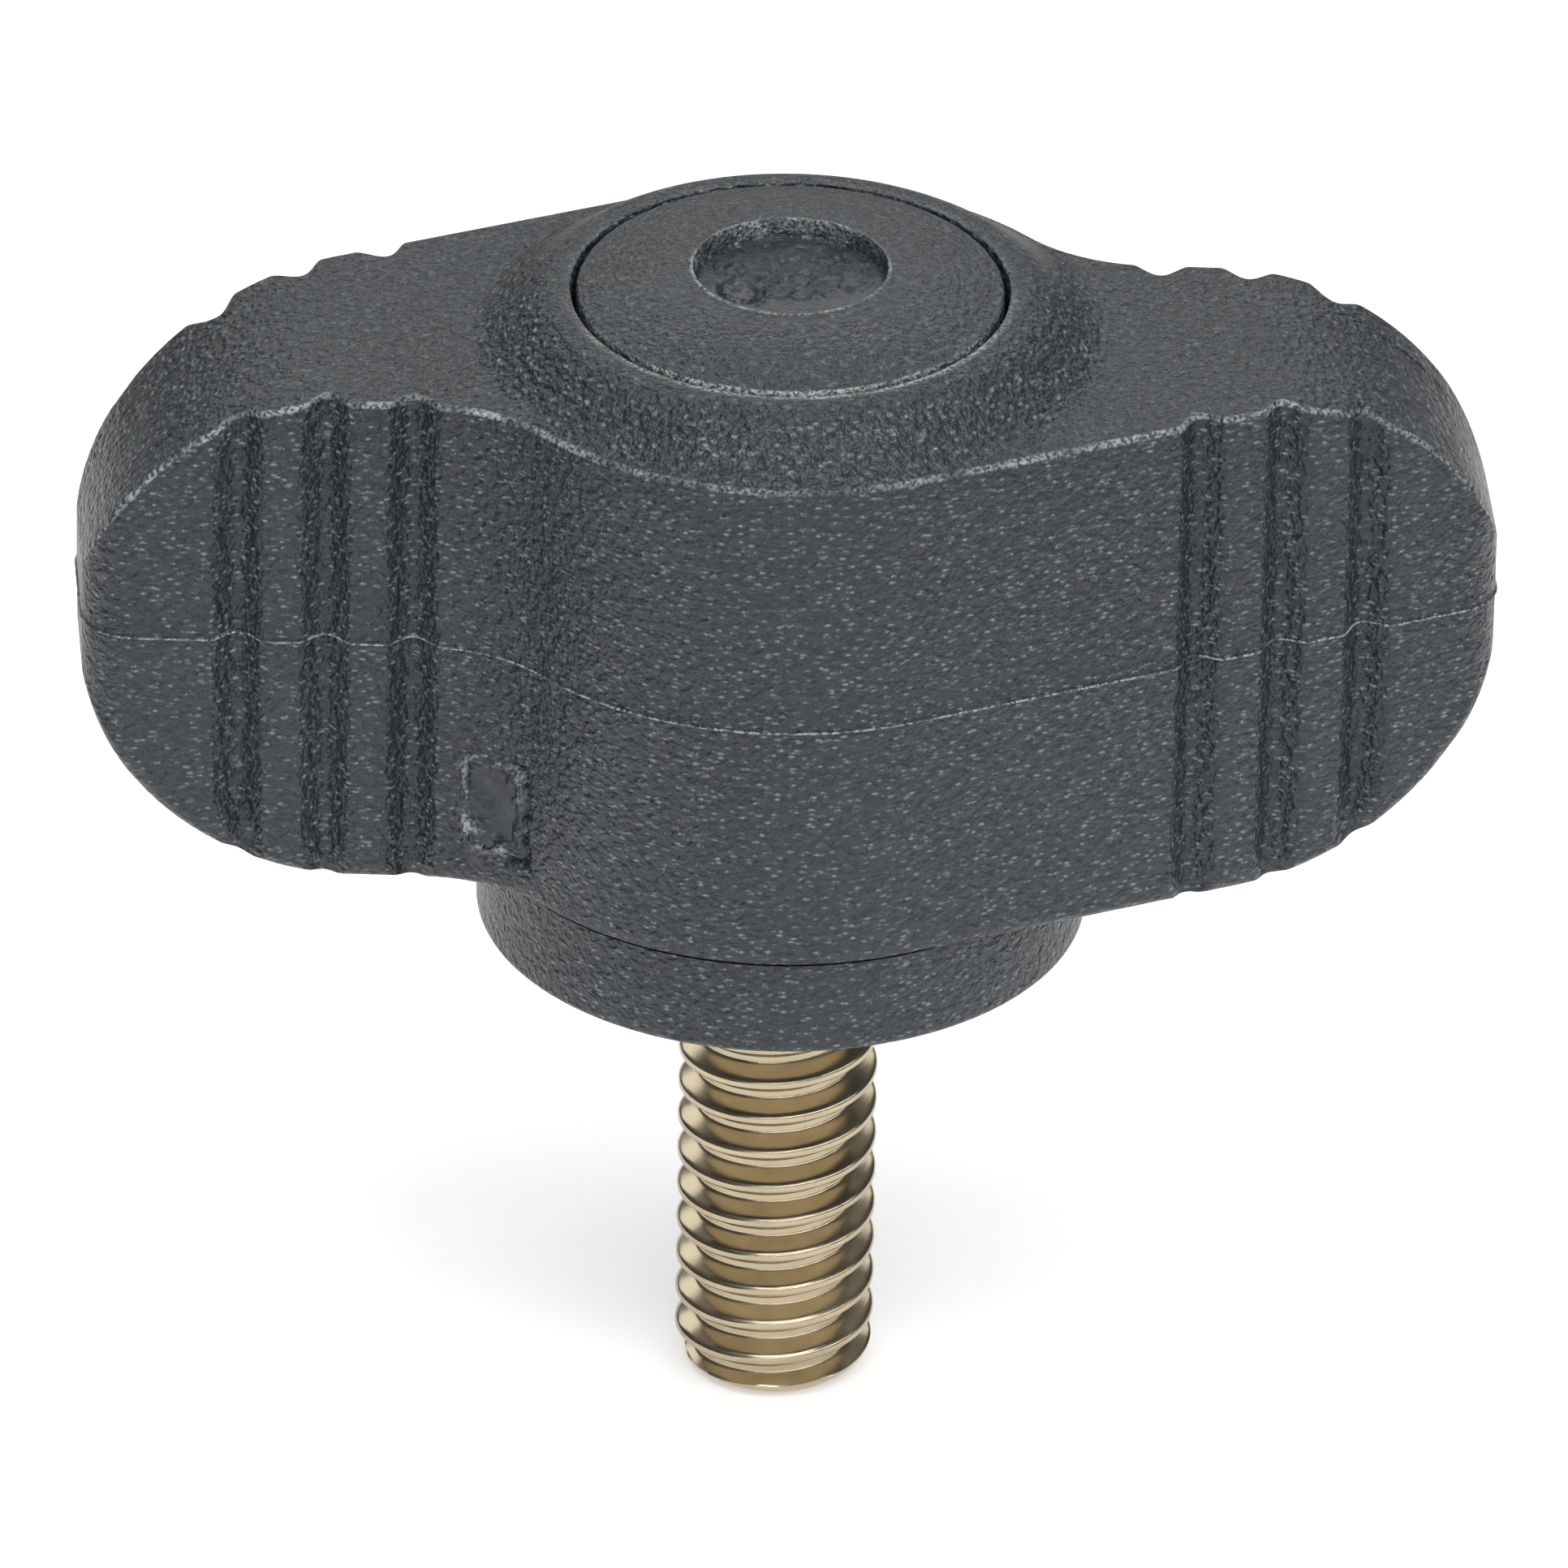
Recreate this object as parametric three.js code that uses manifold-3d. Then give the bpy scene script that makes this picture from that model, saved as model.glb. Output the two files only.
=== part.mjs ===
// Wing knob screw: a moulded two-wing hand knob with a press-in cap and a 1/4-20 UNC steel stud.
// Millimetres, +Z up. The origin is the centre of the flat seat under the boss, on the stud's axis,
// and +X runs along the wings.

import * as THREE from 'three';
import { mergeVertices } from 'three/addons/utils/BufferGeometryUtils.js';
import Module from 'manifold-3d';

const wasm = await Module();
wasm.setup();

// Wings and hub, seen from above. The outline is the same after half a turn.
const WING_REACH = 22.07;
const TIP_HALF_WIDTH = 2.95;
const TIP_CORNER_RADIUS = 1.7;
const HUB_RADIUS = 10;
const FLAT_FACE_ANGLE = THREE.MathUtils.degToRad(5.8);
const WAIST_RADIUS = 5.35;

// Wings and hub, seen from the side: each wing ends in a half circle centred on the mould's parting,
// and the plan cuts its very end off flat.
const WING_END_RADIUS = 8.55;
const WING_END_CUT = 0.22;
const PARTING_Z = 11.78;
const WING_TOP_Z = PARTING_Z + WING_END_RADIUS;
const WING_BOTTOM_Z = PARTING_Z - WING_END_RADIUS;
const DRAFT = Math.tan(THREE.MathUtils.degToRad(0.5));

// Finger grooves, three on each of the four wing faces
const GROOVE_HALF_WIDTH = 0.72;
const GROOVE_DEPTH = 0.5;
const GROOVE_STEPS = 6;
const FLAT_GROOVES_X = [11.9, 14.6, 17.3];
const SLANTED_GROOVES_X = [12.4, 15.1, 17.8];

// Boss below, collar and recess above
const BOSS_RADIUS = 9.58;
const BOSS_EDGE = 0.25;
const COLLAR_FOOT_RADIUS = 9.7;
const COLLAR_RIM_RADIUS = 7.15;
const COLLAR_TOP_Z = 21.95;
const RECESS_RADIUS = 6.88;
const RECESS_FLOOR_Z = 20.1;
const SKIRT_BORE_RADIUS = 6.2;
const SKIRT_BORE_FLOOR_Z = 15.6;
const CORE_HOLE_RADIUS = 3.2;

// Press-in cap
const CAP_RADIUS = 6.65;
const CAP_EDGE = 0.18;
const CAP_UNDERSIDE_Z = RECESS_FLOOR_Z + 0.3;
const CAP_CROWN_Z = 22.75;
const DIMPLE_RADIUS = 3.07;
const DIMPLE_WALL_DEPTH = 0.55;
const DIMPLE_WALL_TAPER = 0.12;
const DIMPLE_FLOOR_DROP = 0.35;
const SKIRT_RADIUS = 5.7;
const SKIRT_BEAD = 0.2;
const SKIRT_WALL = 1.1;
const SKIRT_END_Z = SKIRT_BORE_FLOOR_Z + 0.5;

// Stud: 1/4-20 UNC, right-hand, on a knurled head held in the hub
const THREAD_PITCH = 25.4 / 20;
const THREAD_RADIUS = 3.15;
const THREAD_DEPTH = 0.72;
const THREAD_CREST = 0.36;
const THREAD_ROOT = 0.12;
const STUD_LENGTH = 16.75;
const STUD_TIP_RADIUS = 2.15;
const STUD_TIP_CHAMFER = 1.05;
const THREAD_TOP_Z = 1.2;
const SHANK_RADIUS = 2.95;
const HEAD_RADIUS = 4.4;
const HEAD_BOTTOM_Z = 4.4;
const HEAD_TOP_Z = 12.6;
const KNURL_COUNT = 18;
const KNURL_DEPTH = 0.3;
const KNURL_GROOVE_HALF_WIDTH = 1;
const HEAD_CLEARANCE = 0.3;

// How finely round shapes are faceted
const ROUND = 60;
const THREAD_COLUMNS = 24;

// Lengths that only the joining and cutting of solids needs
const MERGE_TOLERANCE = 1e-5;
const CUT_ALLOWANCE = 1;
const JOIN_OVERLAP = 0.5;

const plastic = new THREE.MeshStandardMaterial({ color: 0x3f4447, roughness: 0.55, metalness: 0 });
const capPlastic = new THREE.MeshStandardMaterial({ color: 0x44494c, roughness: 0.6, metalness: 0 });
const steel = new THREE.MeshStandardMaterial({ color: 0xb9ab94, roughness: 0.22, metalness: 1 });

// ---------------------------------------------------------------------------------------------
// Solids

function toSolid(geometry) {
  const bare = geometry.index ? geometry.toNonIndexed() : geometry.clone();
  bare.deleteAttribute('normal');
  bare.deleteAttribute('uv');
  const merged = mergeVertices(bare, MERGE_TOLERANCE);
  const vertProperties = new Float32Array(merged.attributes.position.array);
  const triVerts = new Uint32Array(merged.index.array);
  return new wasm.Manifold(new wasm.Mesh({ numProp: 3, vertProperties, triVerts }));
}

function toMesh(name, solid, material) {
  const { vertProperties, triVerts } = solid.getMesh();
  const geometry = new THREE.BufferGeometry();
  geometry.setAttribute('position', new THREE.BufferAttribute(vertProperties, 3));
  geometry.setIndex(new THREE.BufferAttribute(triVerts, 1));
  geometry.computeVertexNormals();
  const mesh = new THREE.Mesh(geometry, material);
  mesh.name = name;
  return mesh;
}

// A body of revolution about Z from [radius, height] pairs, listed upwards
function turned(profile, segments = ROUND) {
  const points = profile.map(([radius, height]) => new THREE.Vector2(radius, height));
  return toSolid(new THREE.LatheGeometry(points, segments).rotateX(Math.PI / 2));
}

function cylinder(radius, bottom, top) {
  return turned([[0, bottom], [radius, bottom], [radius, top], [0, top]]);
}

function solidFromFaces(points, faces) {
  const geometry = new THREE.BufferGeometry();
  geometry.setAttribute('position', new THREE.Float32BufferAttribute(points.flat(), 3));
  geometry.setIndex(faces.flat());
  return toSolid(geometry);
}

// ---------------------------------------------------------------------------------------------
// Outline of the wings and hub. Each point keeps its outward normal and how deep a groove has cut
// it back, so that the same outline serves every height of the drafted body.

function outlinePoint(at, normal, cut = 0) {
  return { at, normal, cut };
}

function arcPoints(centre, radius, from, to, steps, hollow = false) {
  const points = [];
  for (let step = 0; step <= steps; step += 1) {
    const angle = from + (to - from) * step / steps;
    const out = new THREE.Vector2(Math.cos(angle), Math.sin(angle));
    const at = centre.clone().addScaledVector(out, radius);
    points.push(outlinePoint(at, hollow ? out.negate() : out));
  }
  return points;
}

function groovedFace(start, end, normal, grooveXs) {
  const along = end.clone().sub(start).normalize();
  const points = [];
  for (const x of grooveXs) {
    const middle = start.clone().addScaledVector(along, (x - start.x) / along.x);
    for (let step = 0; step <= GROOVE_STEPS; step += 1) {
      const across = 2 * step / GROOVE_STEPS - 1;
      const at = middle.clone().addScaledVector(along, across * GROOVE_HALF_WIDTH);
      points.push(outlinePoint(at, normal, GROOVE_DEPTH * Math.sqrt(1 - across * across)));
    }
  }
  return points;
}

// The rounded corner between two faces that meet at a wing tip
function tipCorner(corner, normalBefore, normalAfter) {
  const between = normalBefore.clone().add(normalAfter).normalize();
  const setback = TIP_CORNER_RADIUS / between.dot(normalBefore);
  const centre = corner.clone().addScaledVector(between, -setback);
  const to = normalAfter.angle();
  const from = to - Math.acos(normalBefore.dot(normalAfter));
  return arcPoints(centre, TIP_CORNER_RADIUS, from, to, 4);
}

// Half of the outline: from the left tip along the front of the knob to the right tip
function frontOutline() {
  const leftTip = new THREE.Vector2(-WING_REACH, -TIP_HALF_WIDTH);
  const along = new THREE.Vector2(Math.cos(FLAT_FACE_ANGLE), -Math.sin(FLAT_FACE_ANGLE));
  const flatNormal = new THREE.Vector2(along.y, -along.x);

  // The waist arc touches the flat face and the hub circle from outside
  const offset = leftTip.clone().addScaledVector(flatNormal, WAIST_RADIUS);
  const near = offset.dot(along);
  const reach = HUB_RADIUS + WAIST_RADIUS;
  const travel = -near - Math.sqrt(near * near - offset.lengthSq() + reach * reach);
  const waistCentre = offset.addScaledVector(along, travel);
  const waistStart = waistCentre.clone().addScaledVector(flatNormal, -WAIST_RADIUS);
  const hubStart = waistCentre.angle() - 2 * Math.PI;

  // The slanted face leaves the hub circle at a tangent
  const rightTip = new THREE.Vector2(WING_REACH, -TIP_HALF_WIDTH);
  const hubEnd = rightTip.angle() - 2 * Math.PI - Math.acos(HUB_RADIUS / rightTip.length());
  const slantedNormal = new THREE.Vector2(Math.cos(hubEnd), Math.sin(hubEnd));
  const slantStart = slantedNormal.clone().multiplyScalar(HUB_RADIUS);

  const waistFrom = flatNormal.angle() - Math.PI;
  const waistTo = waistCentre.angle() - Math.PI;
  const hub = new THREE.Vector2(0, 0);
  const endNormal = new THREE.Vector2(1, 0);
  return [
    ...groovedFace(leftTip, waistStart, flatNormal, FLAT_GROOVES_X.map((x) => -x).reverse()),
    ...arcPoints(waistCentre, WAIST_RADIUS, waistFrom, waistTo, 7, true),
    ...arcPoints(hub, HUB_RADIUS, hubStart, hubEnd, 18).slice(1),
    ...groovedFace(slantStart, rightTip, slantedNormal, SLANTED_GROOVES_X),
    ...tipCorner(rightTip, slantedNormal, endNormal),
    ...tipCorner(new THREE.Vector2(WING_REACH, TIP_HALF_WIDTH), endNormal, flatNormal.clone().negate()),
  ];
}

function knobOutline() {
  const front = frontOutline();
  const halfTurn = ({ at, normal, cut }) => outlinePoint(at.clone().negate(), normal.clone().negate(), cut);
  return [...front, ...front.map(halfTurn)];
}

// The outline raised into a body whose faces lean in by the draft above and below the parting
function draftedPrism(outline, bottom, top) {
  const levels = [bottom, PARTING_Z, top];
  const points = levels.flatMap((z) => outline.map(({ at, normal, cut }) => {
    const inset = cut + Math.abs(z - PARTING_Z) * DRAFT;
    return [at.x - normal.x * inset, at.y - normal.y * inset, z];
  }));
  const count = outline.length;
  const faces = [];
  for (let level = 0; level < levels.length - 1; level += 1) {
    for (let index = 0; index < count; index += 1) {
      const a = level * count + index;
      const b = level * count + (index + 1) % count;
      faces.push([a, b, b + count], [a, b + count, a + count]);
    }
  }
  const ring = points.slice(0, count).map(([x, y]) => new THREE.Vector2(x, y));
  const lid = THREE.ShapeUtils.triangulateShape(ring, []);
  const topStart = count * (levels.length - 1);
  for (const [a, b, c] of lid) {
    faces.push([a, c, b], [a + topStart, b + topStart, c + topStart]);
  }
  return solidFromFaces(points, faces);
}

// Side view of both wings together: a flat-topped bar with half-round ends
function sideProfile() {
  const straight = WING_REACH + WING_END_CUT - WING_END_RADIUS;
  const shape = new THREE.Shape();
  shape.moveTo(-straight, -WING_END_RADIUS);
  shape.lineTo(straight, -WING_END_RADIUS);
  shape.absarc(straight, 0, WING_END_RADIUS, -Math.PI / 2, Math.PI / 2, false);
  shape.lineTo(-straight, WING_END_RADIUS);
  shape.absarc(-straight, 0, WING_END_RADIUS, Math.PI / 2, 3 * Math.PI / 2, false);
  const depth = 4 * HUB_RADIUS;
  const bar = new THREE.ExtrudeGeometry(shape, { depth, bevelEnabled: false, curveSegments: 20 });
  return toSolid(bar.translate(0, 0, -depth / 2).rotateX(Math.PI / 2).translate(0, 0, PARTING_Z));
}

// ---------------------------------------------------------------------------------------------
// Wing body

// The collar rises from the wings' top to the rim round the cap in one smooth slope
function collar() {
  const foot = WING_TOP_Z - JOIN_OVERLAP;
  const profile = [[0, foot], [COLLAR_FOOT_RADIUS, foot]];
  const steps = 8;
  for (let step = 0; step <= steps; step += 1) {
    const run = step / steps;
    const rise = run * run * (3 - 2 * run);
    const radius = COLLAR_FOOT_RADIUS + (COLLAR_RIM_RADIUS - COLLAR_FOOT_RADIUS) * run;
    profile.push([radius, WING_TOP_Z + (COLLAR_TOP_Z - WING_TOP_Z) * rise]);
  }
  profile.push([0, COLLAR_TOP_Z]);
  return turned(profile);
}

function boss() {
  const overlap = WING_BOTTOM_Z + JOIN_OVERLAP;
  return turned([
    [0, 0],
    [BOSS_RADIUS - BOSS_EDGE, 0],
    [BOSS_RADIUS, BOSS_EDGE],
    [BOSS_RADIUS, overlap],
    [0, overlap],
  ]);
}

// Everything open inside the hub, from the cap's seat down to the stud's bore
function hubCavity() {
  const pocketRadius = HEAD_RADIUS + HEAD_CLEARANCE;
  const pocketBottom = HEAD_BOTTOM_Z - HEAD_CLEARANCE;
  const pocketTop = HEAD_TOP_Z + HEAD_CLEARANCE;
  const boreRadius = THREAD_RADIUS + HEAD_CLEARANCE;
  return turned([
    [0, -CUT_ALLOWANCE],
    [boreRadius, -CUT_ALLOWANCE],
    [boreRadius, pocketBottom],
    [pocketRadius, pocketBottom],
    [pocketRadius, pocketTop],
    [CORE_HOLE_RADIUS, pocketTop],
    [CORE_HOLE_RADIUS, SKIRT_BORE_FLOOR_Z],
    [SKIRT_BORE_RADIUS, SKIRT_BORE_FLOOR_Z],
    [SKIRT_BORE_RADIUS, RECESS_FLOOR_Z],
    [RECESS_RADIUS, RECESS_FLOOR_Z],
    [RECESS_RADIUS, COLLAR_TOP_Z + CUT_ALLOWANCE],
    [0, COLLAR_TOP_Z + CUT_ALLOWANCE],
  ]);
}

function wingBody() {
  const bottom = WING_BOTTOM_Z - CUT_ALLOWANCE;
  const top = WING_TOP_Z + CUT_ALLOWANCE;
  const wings = draftedPrism(knobOutline(), bottom, top).intersect(sideProfile());
  return wings.add(collar()).add(boss()).subtract(hubCavity());
}

// ---------------------------------------------------------------------------------------------
// Cover cap

function capPlate() {
  const wallFoot = CAP_CROWN_Z - DIMPLE_WALL_DEPTH;
  const crownEdge = COLLAR_TOP_Z - CAP_EDGE;
  const profile = [
    [0, CAP_UNDERSIDE_Z],
    [CAP_RADIUS, CAP_UNDERSIDE_Z],
    [CAP_RADIUS, crownEdge],
  ];
  const steps = 6;
  const edgeRadius = CAP_RADIUS - CAP_EDGE;
  for (let step = 0; step <= steps; step += 1) {
    const run = step / steps;
    const radius = edgeRadius + (DIMPLE_RADIUS - edgeRadius) * run;
    profile.push([radius, COLLAR_TOP_Z + (CAP_CROWN_Z - COLLAR_TOP_Z) * (1 - (1 - run) ** 2)]);
  }
  profile.push([DIMPLE_RADIUS - DIMPLE_WALL_TAPER, wallFoot], [0, wallFoot - DIMPLE_FLOOR_DROP]);
  return turned(profile);
}

// A ring below the plate with a low bead round its foot, which grips the bore
function capSkirt() {
  const beadZ = SKIRT_END_Z + 2 * SKIRT_BEAD;
  const inner = SKIRT_RADIUS - SKIRT_WALL;
  const outside = turned([
    [0, SKIRT_END_Z],
    [SKIRT_RADIUS - SKIRT_BEAD, SKIRT_END_Z],
    [SKIRT_RADIUS + SKIRT_BEAD, beadZ],
    [SKIRT_RADIUS, beadZ + 2 * SKIRT_BEAD],
    [SKIRT_RADIUS, CAP_UNDERSIDE_Z + JOIN_OVERLAP],
    [0, CAP_UNDERSIDE_Z + JOIN_OVERLAP],
  ]);
  return outside.subtract(cylinder(inner, SKIRT_END_Z - CUT_ALLOWANCE, CAP_UNDERSIDE_Z));
}

function coverCap() {
  return capPlate().add(capSkirt());
}

// ---------------------------------------------------------------------------------------------
// Threaded stud

// A right-hand thread as one sheared grid: each column is turned a little and raised a little, so
// that the last column meets the first one pitch higher.
function threadedRod(bottom, top) {
  const rootRadius = THREAD_RADIUS - THREAD_DEPTH;
  const flank = (1 - THREAD_CREST - THREAD_ROOT) / 2;
  const section = [
    [0, THREAD_RADIUS],
    [THREAD_CREST, THREAD_RADIUS],
    [THREAD_CREST + flank, rootRadius],
    [THREAD_CREST + flank + THREAD_ROOT, rootRadius],
  ];
  const turns = Math.ceil((top - bottom) / THREAD_PITCH) + 2;
  const rows = turns * section.length;
  const start = bottom - 1.5 * THREAD_PITCH;
  const points = [];
  for (let column = 0; column < THREAD_COLUMNS; column += 1) {
    const angle = 2 * Math.PI * column / THREAD_COLUMNS;
    for (let row = 0; row <= rows; row += 1) {
      const [rise, radius] = section[row % section.length];
      const pitches = Math.floor(row / section.length) + rise + column / THREAD_COLUMNS;
      points.push([radius * Math.cos(angle), radius * Math.sin(angle), start + pitches * THREAD_PITCH]);
    }
  }
  const at = (column, row) => column * (rows + 1) + row;
  const faces = [];
  for (let column = 0; column < THREAD_COLUMNS; column += 1) {
    const last = column === THREAD_COLUMNS - 1;
    const next = last ? 0 : column + 1;
    const lift = last ? section.length : 0;
    for (let row = 0; row + lift < rows; row += 1) {
      const a = at(column, row);
      const b = at(next, row + lift);
      faces.push([a, b, b + 1], [a, b + 1, a + 1]);
    }
  }

  // Both ends are closed by a fan from a point on the axis
  const lowRim = [];
  const highRim = [];
  for (let column = 0; column < THREAD_COLUMNS; column += 1) {
    lowRim.push(at(column, 0));
    highRim.push(at(column, rows));
  }
  for (let step = 0; step < section.length; step += 1) {
    lowRim.push(at(0, section.length - step));
    highRim.push(at(THREAD_COLUMNS - 1, rows - 1 - step));
  }
  const lowCentre = points.push([0, 0, start - THREAD_PITCH]) - 1;
  const highCentre = points.push([0, 0, start + (turns + 2) * THREAD_PITCH]) - 1;
  lowRim.forEach((corner, index) => faces.push([lowRim[(index + 1) % lowRim.length], corner, lowCentre]));
  highRim.forEach((corner, index) => faces.push([corner, highRim[(index + 1) % highRim.length], highCentre]));
  return solidFromFaces(points, faces);
}

// The blank that the thread is cut to: flat end, rounded chamfer, full diameter
function threadEnvelope(top) {
  const profile = [[0, -STUD_LENGTH]];
  const steps = 5;
  const oversize = THREAD_RADIUS + CUT_ALLOWANCE;
  for (let step = 0; step <= steps; step += 1) {
    const angle = Math.PI / 2 * step / steps;
    const radius = STUD_TIP_RADIUS + (THREAD_RADIUS - STUD_TIP_RADIUS) * Math.sin(angle);
    profile.push([radius, -STUD_LENGTH + STUD_TIP_CHAMFER * (1 - Math.cos(angle))]);
  }
  profile.push([oversize, -STUD_LENGTH + 2 * STUD_TIP_CHAMFER], [oversize, top], [0, top]);
  return turned(profile);
}

// The head that the plastic grips: straight knurling with a plain ring groove round its middle
function knurledHead() {
  const shape = new THREE.Shape();
  for (let tooth = 0; tooth < KNURL_COUNT; tooth += 1) {
    for (const [part, radius] of [[0, HEAD_RADIUS], [0.5, HEAD_RADIUS - KNURL_DEPTH]]) {
      const angle = 2 * Math.PI * (tooth + part) / KNURL_COUNT;
      const x = radius * Math.cos(angle);
      const y = radius * Math.sin(angle);
      if (tooth === 0 && part === 0) {
        shape.moveTo(x, y);
      } else {
        shape.lineTo(x, y);
      }
    }
  }
  const depth = HEAD_TOP_Z - HEAD_BOTTOM_Z;
  const knurl = new THREE.ExtrudeGeometry(shape, { depth, bevelEnabled: false });
  const middle = (HEAD_TOP_Z + HEAD_BOTTOM_Z) / 2;
  const neck = HEAD_RADIUS - 3 * KNURL_DEPTH;
  const low = middle - KNURL_GROOVE_HALF_WIDTH;
  const high = middle + KNURL_GROOVE_HALF_WIDTH;
  const band = cylinder(HEAD_RADIUS + CUT_ALLOWANCE, low, high)
    .subtract(cylinder(neck, low - CUT_ALLOWANCE, high + CUT_ALLOWANCE));
  return toSolid(knurl.translate(0, 0, HEAD_BOTTOM_Z)).subtract(band);
}

function threadedStud() {
  const thread = threadedRod(-STUD_LENGTH, THREAD_TOP_Z).intersect(threadEnvelope(THREAD_TOP_Z));
  const shank = cylinder(SHANK_RADIUS, THREAD_TOP_Z - JOIN_OVERLAP, HEAD_BOTTOM_Z + JOIN_OVERLAP);
  return thread.add(shank).add(knurledHead());
}

// ---------------------------------------------------------------------------------------------

const knob = new THREE.Group();
knob.add(toMesh('wing_body', wingBody(), plastic));
knob.add(toMesh('cover_cap', coverCap(), capPlastic));
knob.add(toMesh('threaded_stud', threadedStud(), steel));

export default knob;
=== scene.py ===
"""Wing knob screw: a moulded two-wing hand knob, its press-in cover cap and its threaded steel stud.

Sizes inside the classes are millimetres in the part's own frame: +Z runs up the stud's axis, +X runs
along the wings and the origin is the centre of the seat under the boss.
"""

import logging
import math
from dataclasses import dataclass, field
from enum import Enum
from typing import Callable, Iterable, Sequence

import bmesh
import bpy
from mathutils import Matrix, Vector, noise

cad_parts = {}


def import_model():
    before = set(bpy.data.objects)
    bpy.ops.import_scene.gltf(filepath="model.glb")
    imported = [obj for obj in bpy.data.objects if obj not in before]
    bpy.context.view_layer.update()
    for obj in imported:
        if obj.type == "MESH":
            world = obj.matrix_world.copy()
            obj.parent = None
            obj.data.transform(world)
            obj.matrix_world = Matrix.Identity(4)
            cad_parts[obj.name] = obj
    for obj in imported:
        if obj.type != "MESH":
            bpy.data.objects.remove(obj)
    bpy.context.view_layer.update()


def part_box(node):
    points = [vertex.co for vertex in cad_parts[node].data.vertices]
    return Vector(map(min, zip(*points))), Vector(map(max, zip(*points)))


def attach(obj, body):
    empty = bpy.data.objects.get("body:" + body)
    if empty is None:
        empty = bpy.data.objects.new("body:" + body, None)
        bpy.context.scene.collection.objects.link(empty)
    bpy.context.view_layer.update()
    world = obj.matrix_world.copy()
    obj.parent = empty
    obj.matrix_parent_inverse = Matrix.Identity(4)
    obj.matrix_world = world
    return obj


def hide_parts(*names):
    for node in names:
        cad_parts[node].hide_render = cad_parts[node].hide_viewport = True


log = logging.getLogger("wing_knob_screw")

Colour = tuple[float, float, float]
Socket = bpy.types.NodeSocket

MM = 0.001
SHARP_EDGE = math.radians(38)
WELD = 0.00002 * MM


# ----------------------------------------------------------------------------------------------
# Frame


@dataclass(frozen=True)
class FrameSizes:
    """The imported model's own sizes, in millimetres, that every piece is built to."""

    reach: float
    hub_radius: float
    collar_top: float
    stud_length: float
    head_top: float
    head_radius: float
    cap_radius: float
    cap_crown: float
    cap_foot: float

    @classmethod
    def read(cls) -> "FrameSizes":
        """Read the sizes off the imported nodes' boxes.

        Returns:
            The sizes, in millimetres.
        """
        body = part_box("wing_body")[1] / MM
        stud_low, stud_high = (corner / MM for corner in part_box("threaded_stud"))
        cap_low, cap_high = (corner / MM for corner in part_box("cover_cap"))
        return cls(
            reach=body.x,
            hub_radius=body.y,
            collar_top=body.z,
            stud_length=-stud_low.z,
            head_top=stud_high.z,
            head_radius=stud_high.x,
            cap_radius=cap_high.x,
            cap_crown=cap_high.z,
            cap_foot=cap_low.z,
        )


# ----------------------------------------------------------------------------------------------
# Finishes


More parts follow.
